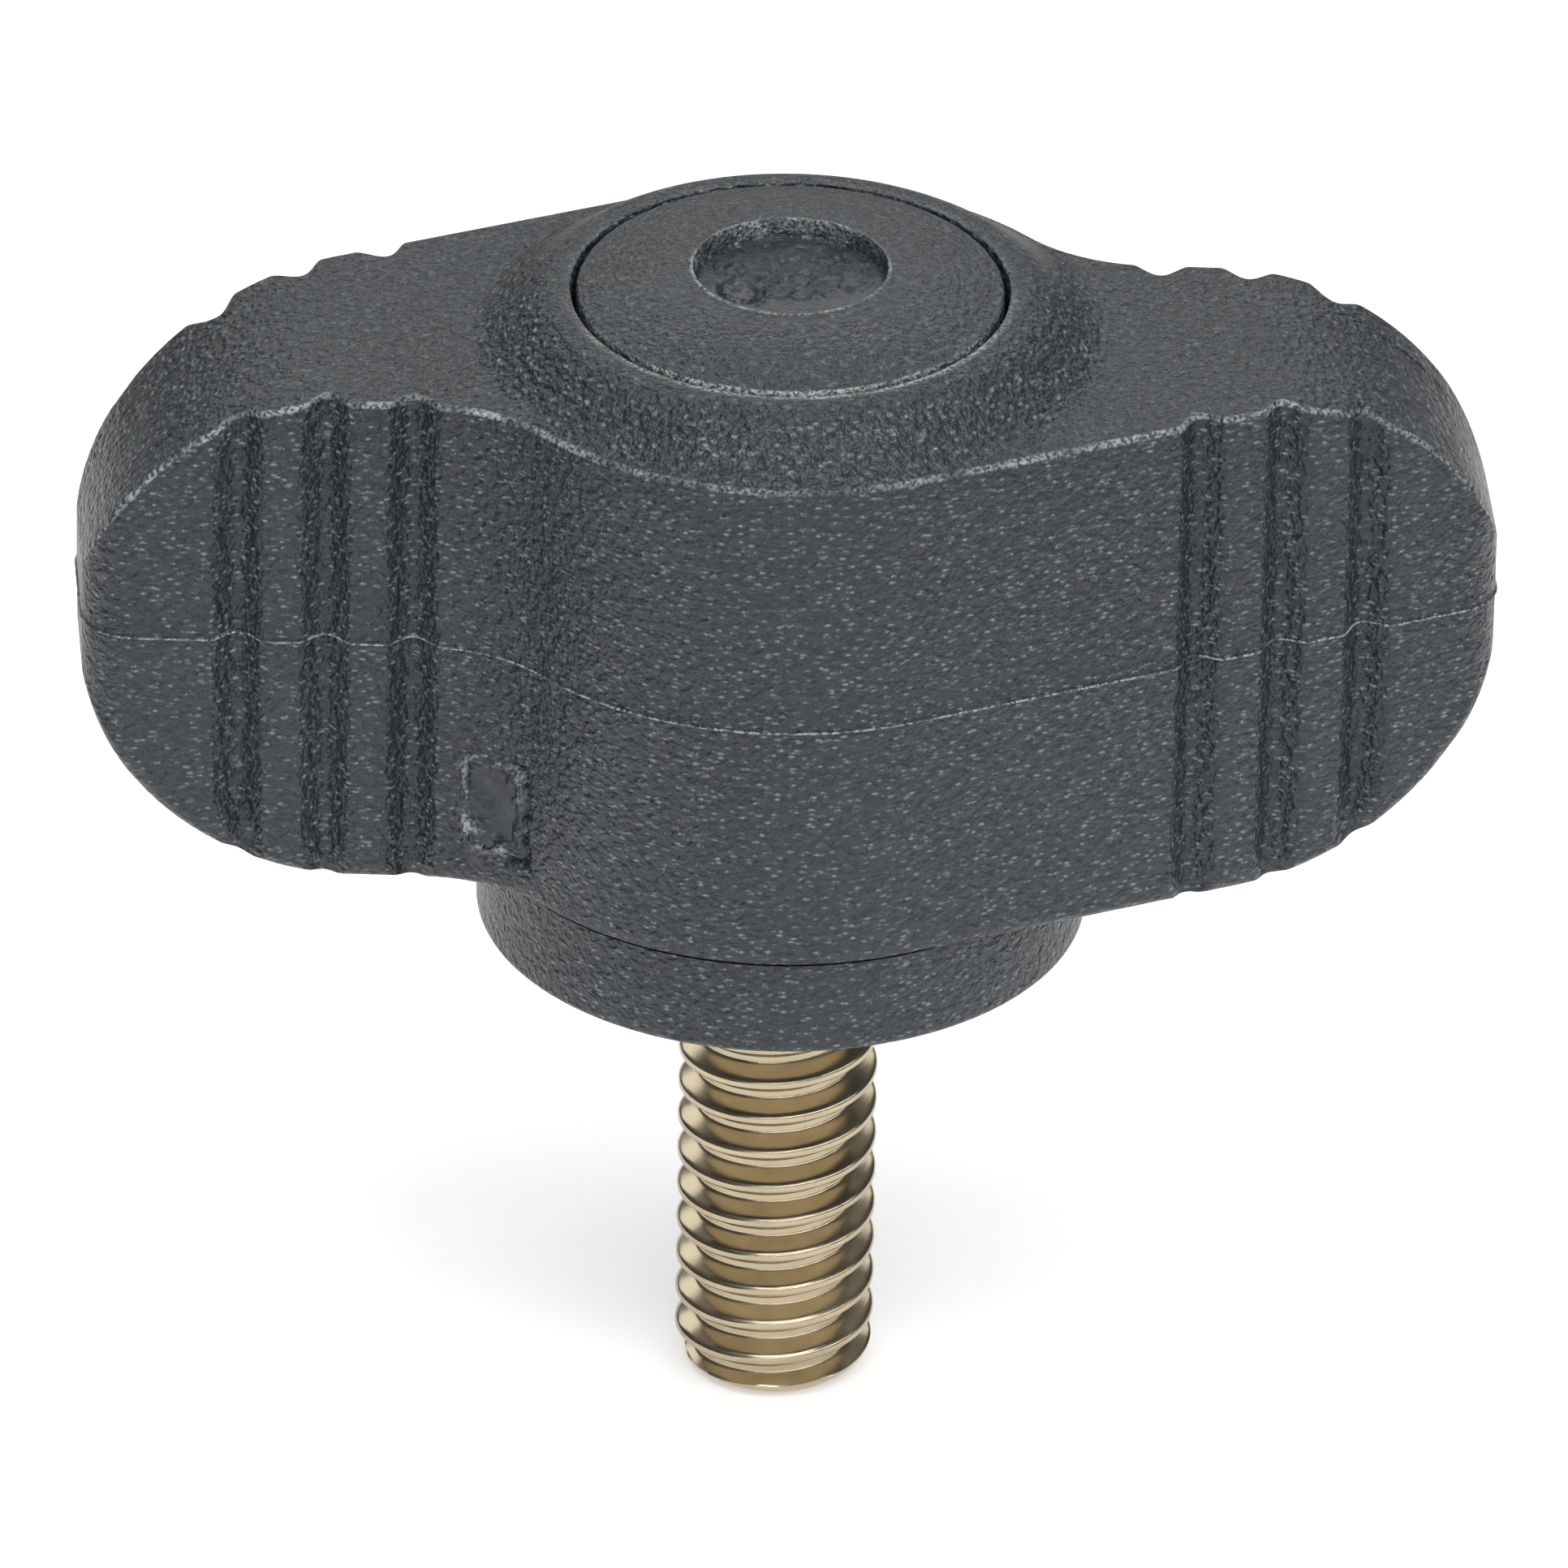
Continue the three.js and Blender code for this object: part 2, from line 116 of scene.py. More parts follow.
class NodeGraph:
    """A material's node tree, with short ways to add and join its nodes."""

    def __init__(self, tree: bpy.types.NodeTree) -> None:
        """Start from an empty tree.

        Args:
            tree: the node tree to fill.
        """
        self.tree = tree
        tree.nodes.clear()

    def add(self, kind: str, **values: object) -> bpy.types.Node:
        """Add a node and set its properties and input values.

        Args:
            kind: the node's type, such as ShaderNodeTexNoise.
            **values: a property's name, or an input's name with underscores for its spaces.

        Returns:
            The new node.
        """
        node = self.tree.nodes.new(kind)
        for name, value in values.items():
            if hasattr(node, name):
                setattr(node, name, value)
            else:
                node.inputs[name.replace("_", " ")].default_value = value
        return node

    def join(self, source: Socket, target: Socket) -> None:
        """Link an output to an input."""
        self.tree.links.new(source, target)

    def show(self, shader: Socket, kind: str = "ShaderNodeOutputMaterial") -> None:
        """Lead a shader to the tree's output node."""
        self.join(shader, self.add(kind).inputs["Surface"])

    def noise(self, place: Socket, scale: float, detail: float = 2.0) -> Socket:
        """Add a noise texture.

        Args:
            place: the coordinates it reads.
            scale: cells per metre.
            detail: octaves of finer noise.

        Returns:
            Its value, about 0.5 on average.
        """
        node = self.add("ShaderNodeTexNoise", Scale=scale, Detail=detail)
        self.join(place, node.inputs["Vector"])
        return node.outputs["Fac"]

    def stretch(self, place: Socket, scale: tuple[float, float, float]) -> Socket:
        """Scale coordinates along each axis.

        Args:
            place: the coordinates.
            scale: the factors along X, Y and Z.

        Returns:
            The scaled coordinates.
        """
        node = self.add("ShaderNodeMapping", Scale=scale)
        self.join(place, node.inputs["Vector"])
        return node.outputs["Vector"]

    def spread(
        self, value: Socket, low: float, high: float, start: float = 0.3, end: float = 0.7
    ) -> Socket:
        """Map a value from one range to another, and hold it inside the new range.

        Args:
            value: the value.
            low: what it becomes at start.
            high: what it becomes at end.
            start: where the value's own range starts.
            end: where it ends.

        Returns:
            The mapped value.
        """
        node = self.add("ShaderNodeMapRange", From_Min=start, From_Max=end, To_Min=low, To_Max=high)
        self.join(value, node.inputs["Value"])
        return node.outputs["Result"]

    def math(self, operation: str, first: Socket, second: Socket | float = 0.0) -> Socket:
        """Combine a value with another value or a number.

        Args:
            operation: the sum to do, such as MULTIPLY.
            first: the value.
            second: the other value, or a number.

        Returns:
            The result.
        """
        node = self.add("ShaderNodeMath", operation=operation)
        self.join(first, node.inputs[0])
        if isinstance(second, Socket):
            self.join(second, node.inputs[1])
        else:
            node.inputs[1].default_value = second
        return node.outputs["Value"]

    def multiply(self, first: Socket, *others: Socket | float) -> Socket:
        """Multiply a value by other values or numbers, one after another.

        Args:
            first: the value.
            *others: what to multiply it by.

        Returns:
            The product.
        """
        for other in others:
            first = self.math("MULTIPLY", first, other)
        return first

    def blend(self, factor: Socket, first: Socket | Colour, second: Socket | Colour) -> Socket:
        """Mix two colours.

        Args:
            factor: 0 for the first colour and 1 for the second.
            first: a colour, or an output that gives one.
            second: the other one.

        Returns:
            The mixed colour.
        """
        node = self.add("ShaderNodeMix", data_type="RGBA")
        self.join(factor, node.inputs["Factor"])
        for value, socket in ((first, node.inputs[6]), (second, node.inputs[7])):
            if isinstance(value, Socket):
                self.join(value, socket)
            else:
                socket.default_value = (*value, 1.0)
        return node.outputs[2]


def new_material(name: str) -> tuple[bpy.types.Material, NodeGraph]:
    """Make a node material.

    Args:
        name: its name.

    Returns:
        The material, and its empty graph.
    """
    material = bpy.data.materials.new(name)
    material.use_nodes = True
    return material, NodeGraph(material.node_tree)


def shade(colour: Colour, factor: float) -> Colour:
    """Make a colour darker or lighter by a factor."""
    return tuple(factor * channel for channel in colour)


@dataclass(frozen=True)
class MouldedPlastic:
    """Satin glass-filled plastic with the fine pebbled skin of a spark-eroded mould."""

    name: str
    colour: Colour
    pebble_size: float = 0.29
    pebble_height: float = 0.2
    grain_fineness: float = 2.3
    grain_relief: float = 0.35
    patch_fineness: float = 0.2
    cloud_fineness: float = 0.03
    cloud_dark: float = 0.8
    cloud_light: float = 1.15
    # Painted shade between the pebbles
    hollow_shade: float = 0.4
    roughness: float = 0.38
    specular: float = 0.43
    # Pale colour of scuffs, and of the highlights painted on lit edges
    wear_and_highlight_colour: Colour = (0.30, 0.315, 0.32)
    tip_spacing: float = 0.39
    tip_squat: float = 2.2
    tip_relief: float = 0.12
    # Colour of the glints painted on the pebbles' tips
    glint_colour: Colour = (0.24, 0.255, 0.265)

    def material(self) -> bpy.types.Material:
        """Build the finish.

        Returns:
            A material that reads Object coordinates and the mesh's wear attribute, which holds scuffs and
            painted highlights.
        """
        material, graph = new_material(self.name)
        place = graph.add("ShaderNodeTexCoord").outputs["Object"]
        wear_and_highlight = graph.add("ShaderNodeAttribute", attribute_name="wear_and_highlight").outputs["Fac"]
        scale = 1 / (self.pebble_size * MM)
        pebbles = graph.noise(place, scale, 1.5)
        grains = graph.noise(place, scale * self.grain_fineness, 1.0)
        clouds = graph.noise(place, scale * self.cloud_fineness, 3.0)
        patches = graph.noise(place, scale * self.patch_fineness, 2.0)
        cells = graph.add("ShaderNodeTexVoronoi", Scale=1 / (self.tip_spacing * MM))
        graph.join(graph.stretch(place, (1.0, 1.0, self.tip_squat)), cells.inputs["Vector"])
        tips = graph.spread(cells.outputs["Distance"], 1.0, 0.0, start=0.10, end=0.40)

        # The wear attribute is 1 or more on a scuff or a painted highlight, and -1 where the pebbled skin
        # is missing
        skin = graph.spread(wear_and_highlight, 0.0, 1.0, start=-1.0, end=0.0)
        relief = graph.math("ADD", pebbles, graph.multiply(grains, self.grain_relief))
        relief = graph.math("ADD", relief, graph.multiply(tips, self.tip_relief))
        relief = graph.multiply(relief, skin)

        # The plastic is a little uneven in tone, and painted shade darkens it between the pebbles
        darker, lighter = shade(self.colour, self.cloud_dark), shade(self.colour, self.cloud_light)
        base = graph.blend(graph.spread(clouds, 0.0, 1.0), darker, lighter)
        painted_hollow_shade = graph.spread(pebbles, 0.5, 0.0, start=0.36, end=0.5)
        base = graph.blend(painted_hollow_shade, base, shade(self.colour, self.hollow_shade))

        # Painted glints: the pebbles' tips are painted pale as if they caught the light, less on the
        # faces that look up
        facing = graph.add("ShaderNodeSeparateXYZ")
        graph.join(graph.add("ShaderNodeNewGeometry").outputs["Normal"], facing.inputs["Vector"])
        glint_strength = graph.spread(facing.outputs["Z"], 0.85, 0.3, start=0.8, end=0.98)
        glint_strength = graph.multiply(glint_strength, graph.spread(grains, 0.15, 1.0, start=0.42, end=0.6))
        base = graph.blend(graph.multiply(tips, glint_strength, skin), base, self.glint_colour)

        # Scuffs and painted highlights come and go in patches along the edges
        scuffs_and_highlights = graph.multiply(
            wear_and_highlight,
            graph.spread(grains, 0.1, 1.0, start=0.42, end=0.58),
            graph.spread(patches, 0.35, 1.0, start=0.4, end=0.58),
        )
        base = graph.blend(scuffs_and_highlights, base, self.wear_and_highlight_colour)

        bump = graph.add("ShaderNodeBump", Strength=1.0, Distance=self.pebble_height * MM)
        graph.join(relief, bump.inputs["Height"])
        shader = graph.add("ShaderNodeBsdfPrincipled", Specular_IOR_Level=self.specular)
        rough = graph.spread(clouds, self.roughness - 0.04, self.roughness + 0.06)
        graph.join(base, shader.inputs["Base Color"])
        graph.join(rough, shader.inputs["Roughness"])
        graph.join(bump.outputs["Normal"], shader.inputs["Normal"])
        graph.show(shader.outputs["BSDF"])
        return material


@dataclass(frozen=True)
class RolledSteel:
    """Bright stainless steel with the fine drag marks that thread rolling leaves round the stud."""

    name: str
    colour: Colour = (0.50, 0.42, 0.29)
    tarnish: float = 0.8
    stain_size: float = 1.6
    roughness: float = 0.2
    drag_length: float = 3.0
    drag_width: float = 0.08
    drag_depth: float = 0.008
    drag_strength: float = 0.35

    def material(self) -> bpy.types.Material:
        """Build the finish.

        Returns:
            A material that reads Object coordinates.
        """
        material, graph = new_material(self.name)
        place = graph.add("ShaderNodeTexCoord").outputs["Object"]
        along, across = 1 / (self.drag_length * MM), 1 / (self.drag_width * MM)
        drags = graph.noise(graph.stretch(place, (along, along, across)), 1.0, 3.0)
        stains = graph.noise(place, 1 / (self.stain_size * MM), 3.0)

        tarnished = shade(self.colour, self.tarnish)
        base = graph.blend(graph.spread(stains, 0.0, 1.0), tarnished, self.colour)
        rough = graph.spread(stains, self.roughness - 0.05, self.roughness + 0.08)
        bump = graph.add("ShaderNodeBump", Strength=self.drag_strength, Distance=self.drag_depth * MM)
        graph.join(drags, bump.inputs["Height"])
        shader = graph.add("ShaderNodeBsdfPrincipled", Metallic=1.0)
        graph.join(base, shader.inputs["Base Color"])
        graph.join(rough, shader.inputs["Roughness"])
        graph.join(bump.outputs["Normal"], shader.inputs["Normal"])
        graph.show(shader.outputs["BSDF"])
        return material


@dataclass(frozen=True)
class PaperSweep:
    """The plain pale sheet that the knob stands on."""

    name: str = "paper_sweep"
    colour: Colour = (0.93, 0.93, 0.935)
    # Painted shade on the sheet far from the knob
    far_shade_colour: Colour = (0.16, 0.16, 0.165)
    # How strongly the sheet is painted as glowing near the knob
    painted_glow: float = 0.32
    roughness: float = 0.9
    specular: float = 0.1
    bright_radius: float = 85.0
    dim_radius: float = 230.0

    def material(self) -> bpy.types.Material:
        """Build the matt white finish, painted as glowing near the knob and with painted shade far from
        it.

        Returns:
            A material that reads Object coordinates.
        """
        material, graph = new_material(self.name)
        away = graph.add("ShaderNodeVectorMath", operation="LENGTH")
        graph.join(graph.add("ShaderNodeTexCoord").outputs["Object"], away.inputs[0])
        start, end = self.bright_radius * MM, self.dim_radius * MM
        far = graph.spread(away.outputs["Value"], 0.0, 1.0, start, end)
        shader = graph.add(
            "ShaderNodeBsdfPrincipled",
            Roughness=self.roughness,
            Specular_IOR_Level=self.specular,
            Emission_Color=(1.0, 1.0, 1.0, 1.0),
        )
        # Painted shade far from the knob, and painted light glowing from the sheet near it
        graph.join(graph.blend(far, self.colour, self.far_shade_colour), shader.inputs["Base Color"])
        painted_glow = graph.spread(far, self.painted_glow, 0.0, start=0.0, end=0.8)
        graph.join(painted_glow, shader.inputs["Emission Strength"])
        graph.show(shader.outputs["BSDF"])
        return material


class Finish(Enum):
    """The finishes of the knob, by the record's material slots."""

    KNOB = MouldedPlastic("knob_plastic", (0.0205, 0.0255, 0.0305))
    CAP = MouldedPlastic("cap_plastic", (0.025, 0.030, 0.035), pebble_size=0.23, pebble_height=0.14)
    STUD = RolledSteel("stud_steel")


# ----------------------------------------------------------------------------------------------
# Mesh work


@dataclass
class RingSurface:
    """A surface through a stack of rings that all have the same number of corners, in millimetres."""

    rings: list[list[Vector]] = field(default_factory=list)
    wear_and_highlight_values: list[Sequence[float]] = field(default_factory=list)

    def add(self, ring: list[Vector], wear_and_highlight: float | Sequence[float] = 0.0) -> None:
        """Add the next ring.

        Args:
            ring: its corners in order.
            wear_and_highlight: one number for the ring, or one for each corner: 0 as moulded, 1 or more
                on a
            scuff or a painted highlight, and below 0 where the pebbled skin is missing.
        """
        self.rings.append(ring)
        self.wear_and_highlight_values.append([wear_and_highlight] * len(ring) if isinstance(wear_and_highlight, float) else wear_and_highlight)

    def close(self) -> None:
        """Lead the surface back to its first ring."""
        self.rings.append(self.rings[0])
        self.wear_and_highlight_values.append(self.wear_and_highlight_values[0])

    def build(self, mesh: bmesh.types.BMesh) -> None:
        """Lay a grid over the rings and weld it shut where corners meet.

        Args:
            mesh: the mesh to build in.
        """
        across = len(self.rings[0])
        wear_and_highlight = mesh.verts.layers.float.new("wear_and_highlight")
        corners = grid_corners(mesh, across, len(self.rings) - 1)
        for index, corner in enumerate(corners):
            row, column = divmod(index, across + 1)
            corner.co = self.rings[row][column % across] * MM
            corner[wear_and_highlight] = self.wear_and_highlight_values[row][column % across]
        bmesh.ops.remove_doubles(mesh, verts=corners, dist=WELD)


def grid_corners(mesh: bmesh.types.BMesh, columns: int, rows: int) -> list[bmesh.types.BMVert]:
    """Create a grid.

    Args:
        mesh: the mesh to create it in.
        columns: how many faces it has from side to side.
        rows: how many faces it has from bottom to top.

    Returns:
        Its corners row by row, one more to a row than there are columns.
    """
    made = bmesh.ops.create_grid(mesh, x_segments=columns, y_segments=rows, size=1.0)
    return sorted(made["verts"], key=lambda v: (round(v.co.y, 6), round(v.co.x, 6)))


def circle(radius: float, height: float, angles: Sequence[float]) -> list[Vector]:
    """A ring's corners on a circle about the Z axis, one for each angle, in millimetres."""
    return [Vector((radius * math.cos(a), radius * math.sin(a), height)) for a in angles]


def even_angles(count: int) -> list[float]:
    """Evenly spaced angles round a full turn, in radians."""
    return [2 * math.pi * step / count for step in range(count)]


def smooth_step(value: float) -> float:
    """Ease from 0 to 1 as the value goes from 0 to 1, clamped."""
    value = min(1.0, max(0.0, value))
    return value * value * (3 - 2 * value)


def soft_ramp(value: float, rounding: float) -> float:
    """Follow a value above 0 and stay at 0 below it, with the bend at 0 rounded.

    Args:
        value: the value.
        rounding: how far on each side of 0 the bend reaches.

    Returns:
        The rounded value, never below 0.
    """
    if value <= -rounding:
        return 0.0
    return value if value >= rounding else (value + rounding) ** 2 / (4 * rounding)


def bell(value: float, width: float) -> float:
    """A smooth bump that is 1 at 0 and nearly gone two widths away."""
    return math.exp(-((value / width) ** 2))


def waver(x: float, y: float, layer: float) -> float:
    """A smooth random number, about -1 to 1, that changes over X and Y and from layer to layer."""
    return noise.noise(Vector((x, y, layer)))


def steps(start: float, end: float, count: int) -> list[float]:
    """Evenly spaced numbers after start, up to and including end."""
    return [start + (end - start) * step / count for step in range(1, count + 1)]


def place_object(name: str, data: bpy.types.ID) -> bpy.types.Object:
    """Put a new object in the scene.

    Args:
        name: its name.
        data: its mesh, light or camera.

    Returns:
        The object, at the origin.
    """
    made = bpy.data.objects.new(name, data)
    bpy.context.scene.collection.objects.link(made)
    return made


def finish_piece(
    mesh: bmesh.types.BMesh, name: str, finish: Finish, body: str, node: str
) -> bpy.types.Object:
    """Turn a finished mesh into a piece of the knob.

    Args:
        mesh: the mesh, in metres in the part's frame. It is freed.
        name: the piece's name.
        finish: its finish, whose name is the record's material slot.
        body: the body that it rides on.
        node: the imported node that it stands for.

    Returns:
        The new object, at the origin.
    """
    bmesh.ops.recalc_face_normals(mesh, faces=mesh.faces)
    for face in mesh.faces:
        face.smooth = True
    for edge in mesh.edges:
        edge.smooth = not (edge.is_manifold and edge.calc_face_angle() > SHARP_EDGE)
    data = bpy.data.meshes.new(name)
    mesh.to_mesh(data)
    mesh.free()
    piece = place_object(name, data)
    data.materials.append(finish.value.material())
    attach(piece, body)
    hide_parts(node)
    return piece


# ----------------------------------------------------------------------------------------------
# Outline of the wings and hub


@dataclass
class Station:
    """One corner of the outline: where it is, which way is out, and how deep a groove cuts there."""

    at: Vector
    out: Vector
    cut: float = 0.0
    run: float = 0.0

    def turned_half(self) -> "Station":
        """The same station on the other wing, after half a turn."""
        return Station(-self.at, -self.out, self.cut)


@dataclass
class KnobOutline:
    """The plan of the wings and hub at the parting. It is the same after half a turn."""

    reach: float
    hub_radius: float
    tip_half_width: float = 2.95
    tip_corner: float = 1.7
    flat_angle: float = math.radians(5.8)
    waist_radius: float = 5.35
    groove_half_width: float = 0.84
    groove_depth: float = 0.60
    groove_fullness: float = 1.5
    groove_steps: int = 16
    flat_grooves: tuple[float, ...] = (-17.3, -14.6, -11.9)
    slanted_grooves: tuple[float, ...] = (12.4, 15.1, 17.8)
    spacing: float = 0.34
    waist_spacing: float = 0.13
    hub_spacing: float = 0.3
    corner_spacing: float = 0.22
    tip_steps: int = 6

    def arc(
        self, centre: Vector, radius: float, start: float, end: float, spacing: float
    ) -> list[Station]:
        """Stations along a round stretch.

        Args:
            centre: its centre.
            radius: its radius.
            start: the first angle, in radians.
            end: the last angle.
            spacing: the distance between stations.

        Returns:
            The stations, both ends included.
        """
        count = max(3, round(abs(end - start) * radius / spacing))
        made = []
        for angle in [start, *steps(start, end, count)]:
            out = Vector((math.cos(angle), math.sin(angle)))
            made.append(Station(centre + out * radius, out))
        return made

    def grooved(
        self,
        path: Callable[[float], Station],
        length: float,
        grooves: Iterable[float],
        last_spacing: float,
    ) -> list[Station]:
        """Stations along a path that finger grooves cut across.

        Args:
            path: gives the station at a distance along the path.
            length: the path's length.
            grooves: the distances of the grooves' middles, in order.
            last_spacing: the distance between stations after the last groove.

        Returns:
            The stations, without the path's two ends.
        """
        made: list[Station] = []
        done = 0.0
        for middle in grooves:
            first = middle - self.groove_half_width
            count = max(2, round((first - done) / self.spacing))
            made += [path(distance) for distance in steps(done, first, count)[:-1]]
            for across in [-1.0, *steps(-1.0, 1.0, self.groove_steps)]:
                station = path(middle + self.groove_half_width * across)
                hollow = max(0.0, math.cos(math.pi / 2 * across)) ** self.groove_fullness
                station.cut = self.groove_depth * hollow
                made.append(station)
            done = middle + self.groove_half_width
        count = max(2, round((length - done) / last_spacing))
        return made + [path(distance) for distance in steps(done, length, count)[:-1]]

    def corner(self, tip: Vector, before: Vector, after: Vector) -> list[Station]:
        """Stations round a wing tip's corner.

        Args:
            tip: where the two faces would meet if the corner were sharp.
            before: the normal of the face before the corner.
            after: the normal of the face after it.

        Returns:
            The stations, both ends included.
        """
        middle = (before + after).normalized()
        centre = tip - middle * (self.tip_corner / middle.dot(before))
        end = math.atan2(after.y, after.x)
        start = end - before.angle(after)
        return self.arc(centre, self.tip_corner, start, end, self.corner_spacing)

    def half(self) -> list[Station]:
        """Lay out half of the outline. Half a turn gives the other half.

        Returns:
            Stations from the left tip along the front of the knob and round the right tip.
        """
        left = Vector((-self.reach, -self.tip_half_width))
        right = Vector((self.reach, -self.tip_half_width))
        along = Vector((math.cos(self.flat_angle), -math.sin(self.flat_angle)))
        flat_out = Vector((along.y, -along.x))

        # The waist arc touches the flat face, and the hub circle from outside
        offset = left + flat_out * self.waist_radius
        near = offset.dot(along)
        reach = self.hub_radius + self.waist_radius
        travel = -near - math.sqrt(near * near - offset.length_squared + reach * reach)
        waist = offset + along * travel
        waist_angle = math.atan2(waist.y, waist.x)
        turn_start = math.atan2(-flat_out.y, -flat_out.x)
        turn = turn_start - (waist_angle + math.pi)

        def flat_and_waist(distance: float) -> Station:
            """Find a station on the flat face or on the waist arc after it.

            Args:
                distance: how far it is from the left tip.

            Returns:
                The station.
            """
            if distance <= travel:
                return Station(left + along * distance, flat_out)
            angle = turn_start - (distance - travel) / self.waist_radius
            inward = Vector((math.cos(angle), math.sin(angle)))
            return Station(waist + inward * self.waist_radius, -inward)

        # The slanted face leaves the hub circle at a tangent
        hub_end = math.atan2(right.y, right.x) - math.acos(self.hub_radius / right.length)
        slanted_out = Vector((math.cos(hub_end), math.sin(hub_end)))
        slant_start = slanted_out * self.hub_radius
        slant = (right - slant_start).normalized()
        slant_length = (right - slant_start).length

        def slanted(distance: float) -> Station:
            """Find a station on the slanted face, at a distance from the hub."""
            return Station(slant_start + slant * distance, slanted_out)

        tip_out = Vector((1.0, 0.0))
        tip_far = Vector((self.reach, self.tip_half_width))
        end_face = self.tip_half_width - self.tip_corner
        flat_grooves = [(x + self.reach) / along.x for x in self.flat_grooves]
        slanted_grooves = [(x - slant_start.x) / slant.x for x in self.slanted_grooves]

        length = travel + turn * self.waist_radius
        made = self.grooved(flat_and_waist, length, flat_grooves, self.waist_spacing)
        made = [s for s in made if s.at.x > -self.reach + self.tip_corner]
        made += self.arc(Vector((0.0, 0.0)), self.hub_radius, waist_angle, hub_end, self.hub_spacing)
        made += [
            s
            for s in self.grooved(slanted, slant_length, slanted_grooves, self.spacing)
            if s.at.x < self.reach - self.tip_corner
        ]
        made += self.corner(right, slanted_out, tip_out)
        end_steps = steps(-end_face, end_face, self.tip_steps)[:-1]
        made += [Station(Vector((self.reach, y)), tip_out) for y in end_steps]
        made += self.corner(tip_far, tip_out, -flat_out)
        return made

    def stations(self) -> list[Station]:
        """Lay out the whole outline.

        Returns:
            Its stations in order, each with its distance along the outline.
        """
        front = self.half()
        made = front + [station.turned_half() for station in front]
        run = 0.0
        for previous, station in zip(made, made[1:]):
            run += (station.at - previous.at).length
            station.run = run
        return made


# ----------------------------------------------------------------------------------------------
# Pieces


@dataclass
class GateMark:
    """The rough rectangle beside the hub where the moulding gate was cut off."""

    at: tuple[float, float] = (-9.25, -4.6)
    height: float = 6.35
    half_width: float = 0.98
    half_height: float = 1.6
    margin: float = 0.4
    raggedness: float = 0.22
    lip: float = 0.3
    lip_width: float = 0.15
    plateau: float = 0.03
    waves: float = 0.08
    gully: float = 0.2
    gully_width: float = 0.12
    gully_out: float = 0.16
    scuff: float = 2.4
    bareness: float = 0.9
    spot_lip: float = 0.10
    spot_scuff: float = 2.0
    torn_spots: tuple[tuple[float, float, float, float], ...] = (
        (-0.55, -0.8, 0.35, 0.8),
        (0.45, -1.35, 0.4, 0.25),
        (0.35, 1.3, 0.6, 0.3),
    )

    def relief(self, across: float, up: float) -> tuple[float, float]:
        """How far the surface stands out, and how worn it is.

        Args:
            across: distance along the outline from the mark's middle, towards the hub.
            up: distance above the mark's middle.

        Returns:
            The relief in millimetres and the wear, both 0 away from the mark.
        """
        torn = self.raggedness * waver(across * 2.4, up * 1.9, 4.0)
        inside = min(self.half_width - abs(across), self.half_height - abs(up)) + torn
        if inside < -self.margin:
            return 0.0, 0.0
        edge = bell(inside, self.lip_width)
        left = smooth_step(0.4 - across)
        corner = smooth_step(0.2 - across) * smooth_step(-up / 1.2)
        ragged = 0.6 + 1.1 * waver(across * 1.7, up * 1.3, 7.0)
        relief = self.plateau * smooth_step(inside / self.lip_width)
        relief += self.waves * waver(across * 3.0, up * 1.2, 2.0) * smooth_step(inside / 0.1)
        ridge = self.lip * edge * max(0.0, left * ragged) * (0.35 + corner)
        gully = self.gully * bell(inside + self.gully_out, self.gully_width) * (0.4 + smooth_step(across))
        scuff = edge * max(0.0, ragged - 0.35) * (0.4 + corner) * smooth_step(1.6 - across)
        bare = -self.bareness * smooth_step((inside - 0.1) / self.lip_width)

        # Each torn spot has its place across and up, and its width and height
        for spot_across, spot_up, wide, tall in self.torn_spots:
            spot = math.exp(-((across - spot_across) / wide) ** 2 - ((up - spot_up) / tall) ** 2)
            ridge += self.spot_lip * spot * ragged
            bare += self.spot_scuff * spot * max(0.0, ragged)
        return relief + ridge - gully, self.scuff * scuff + bare


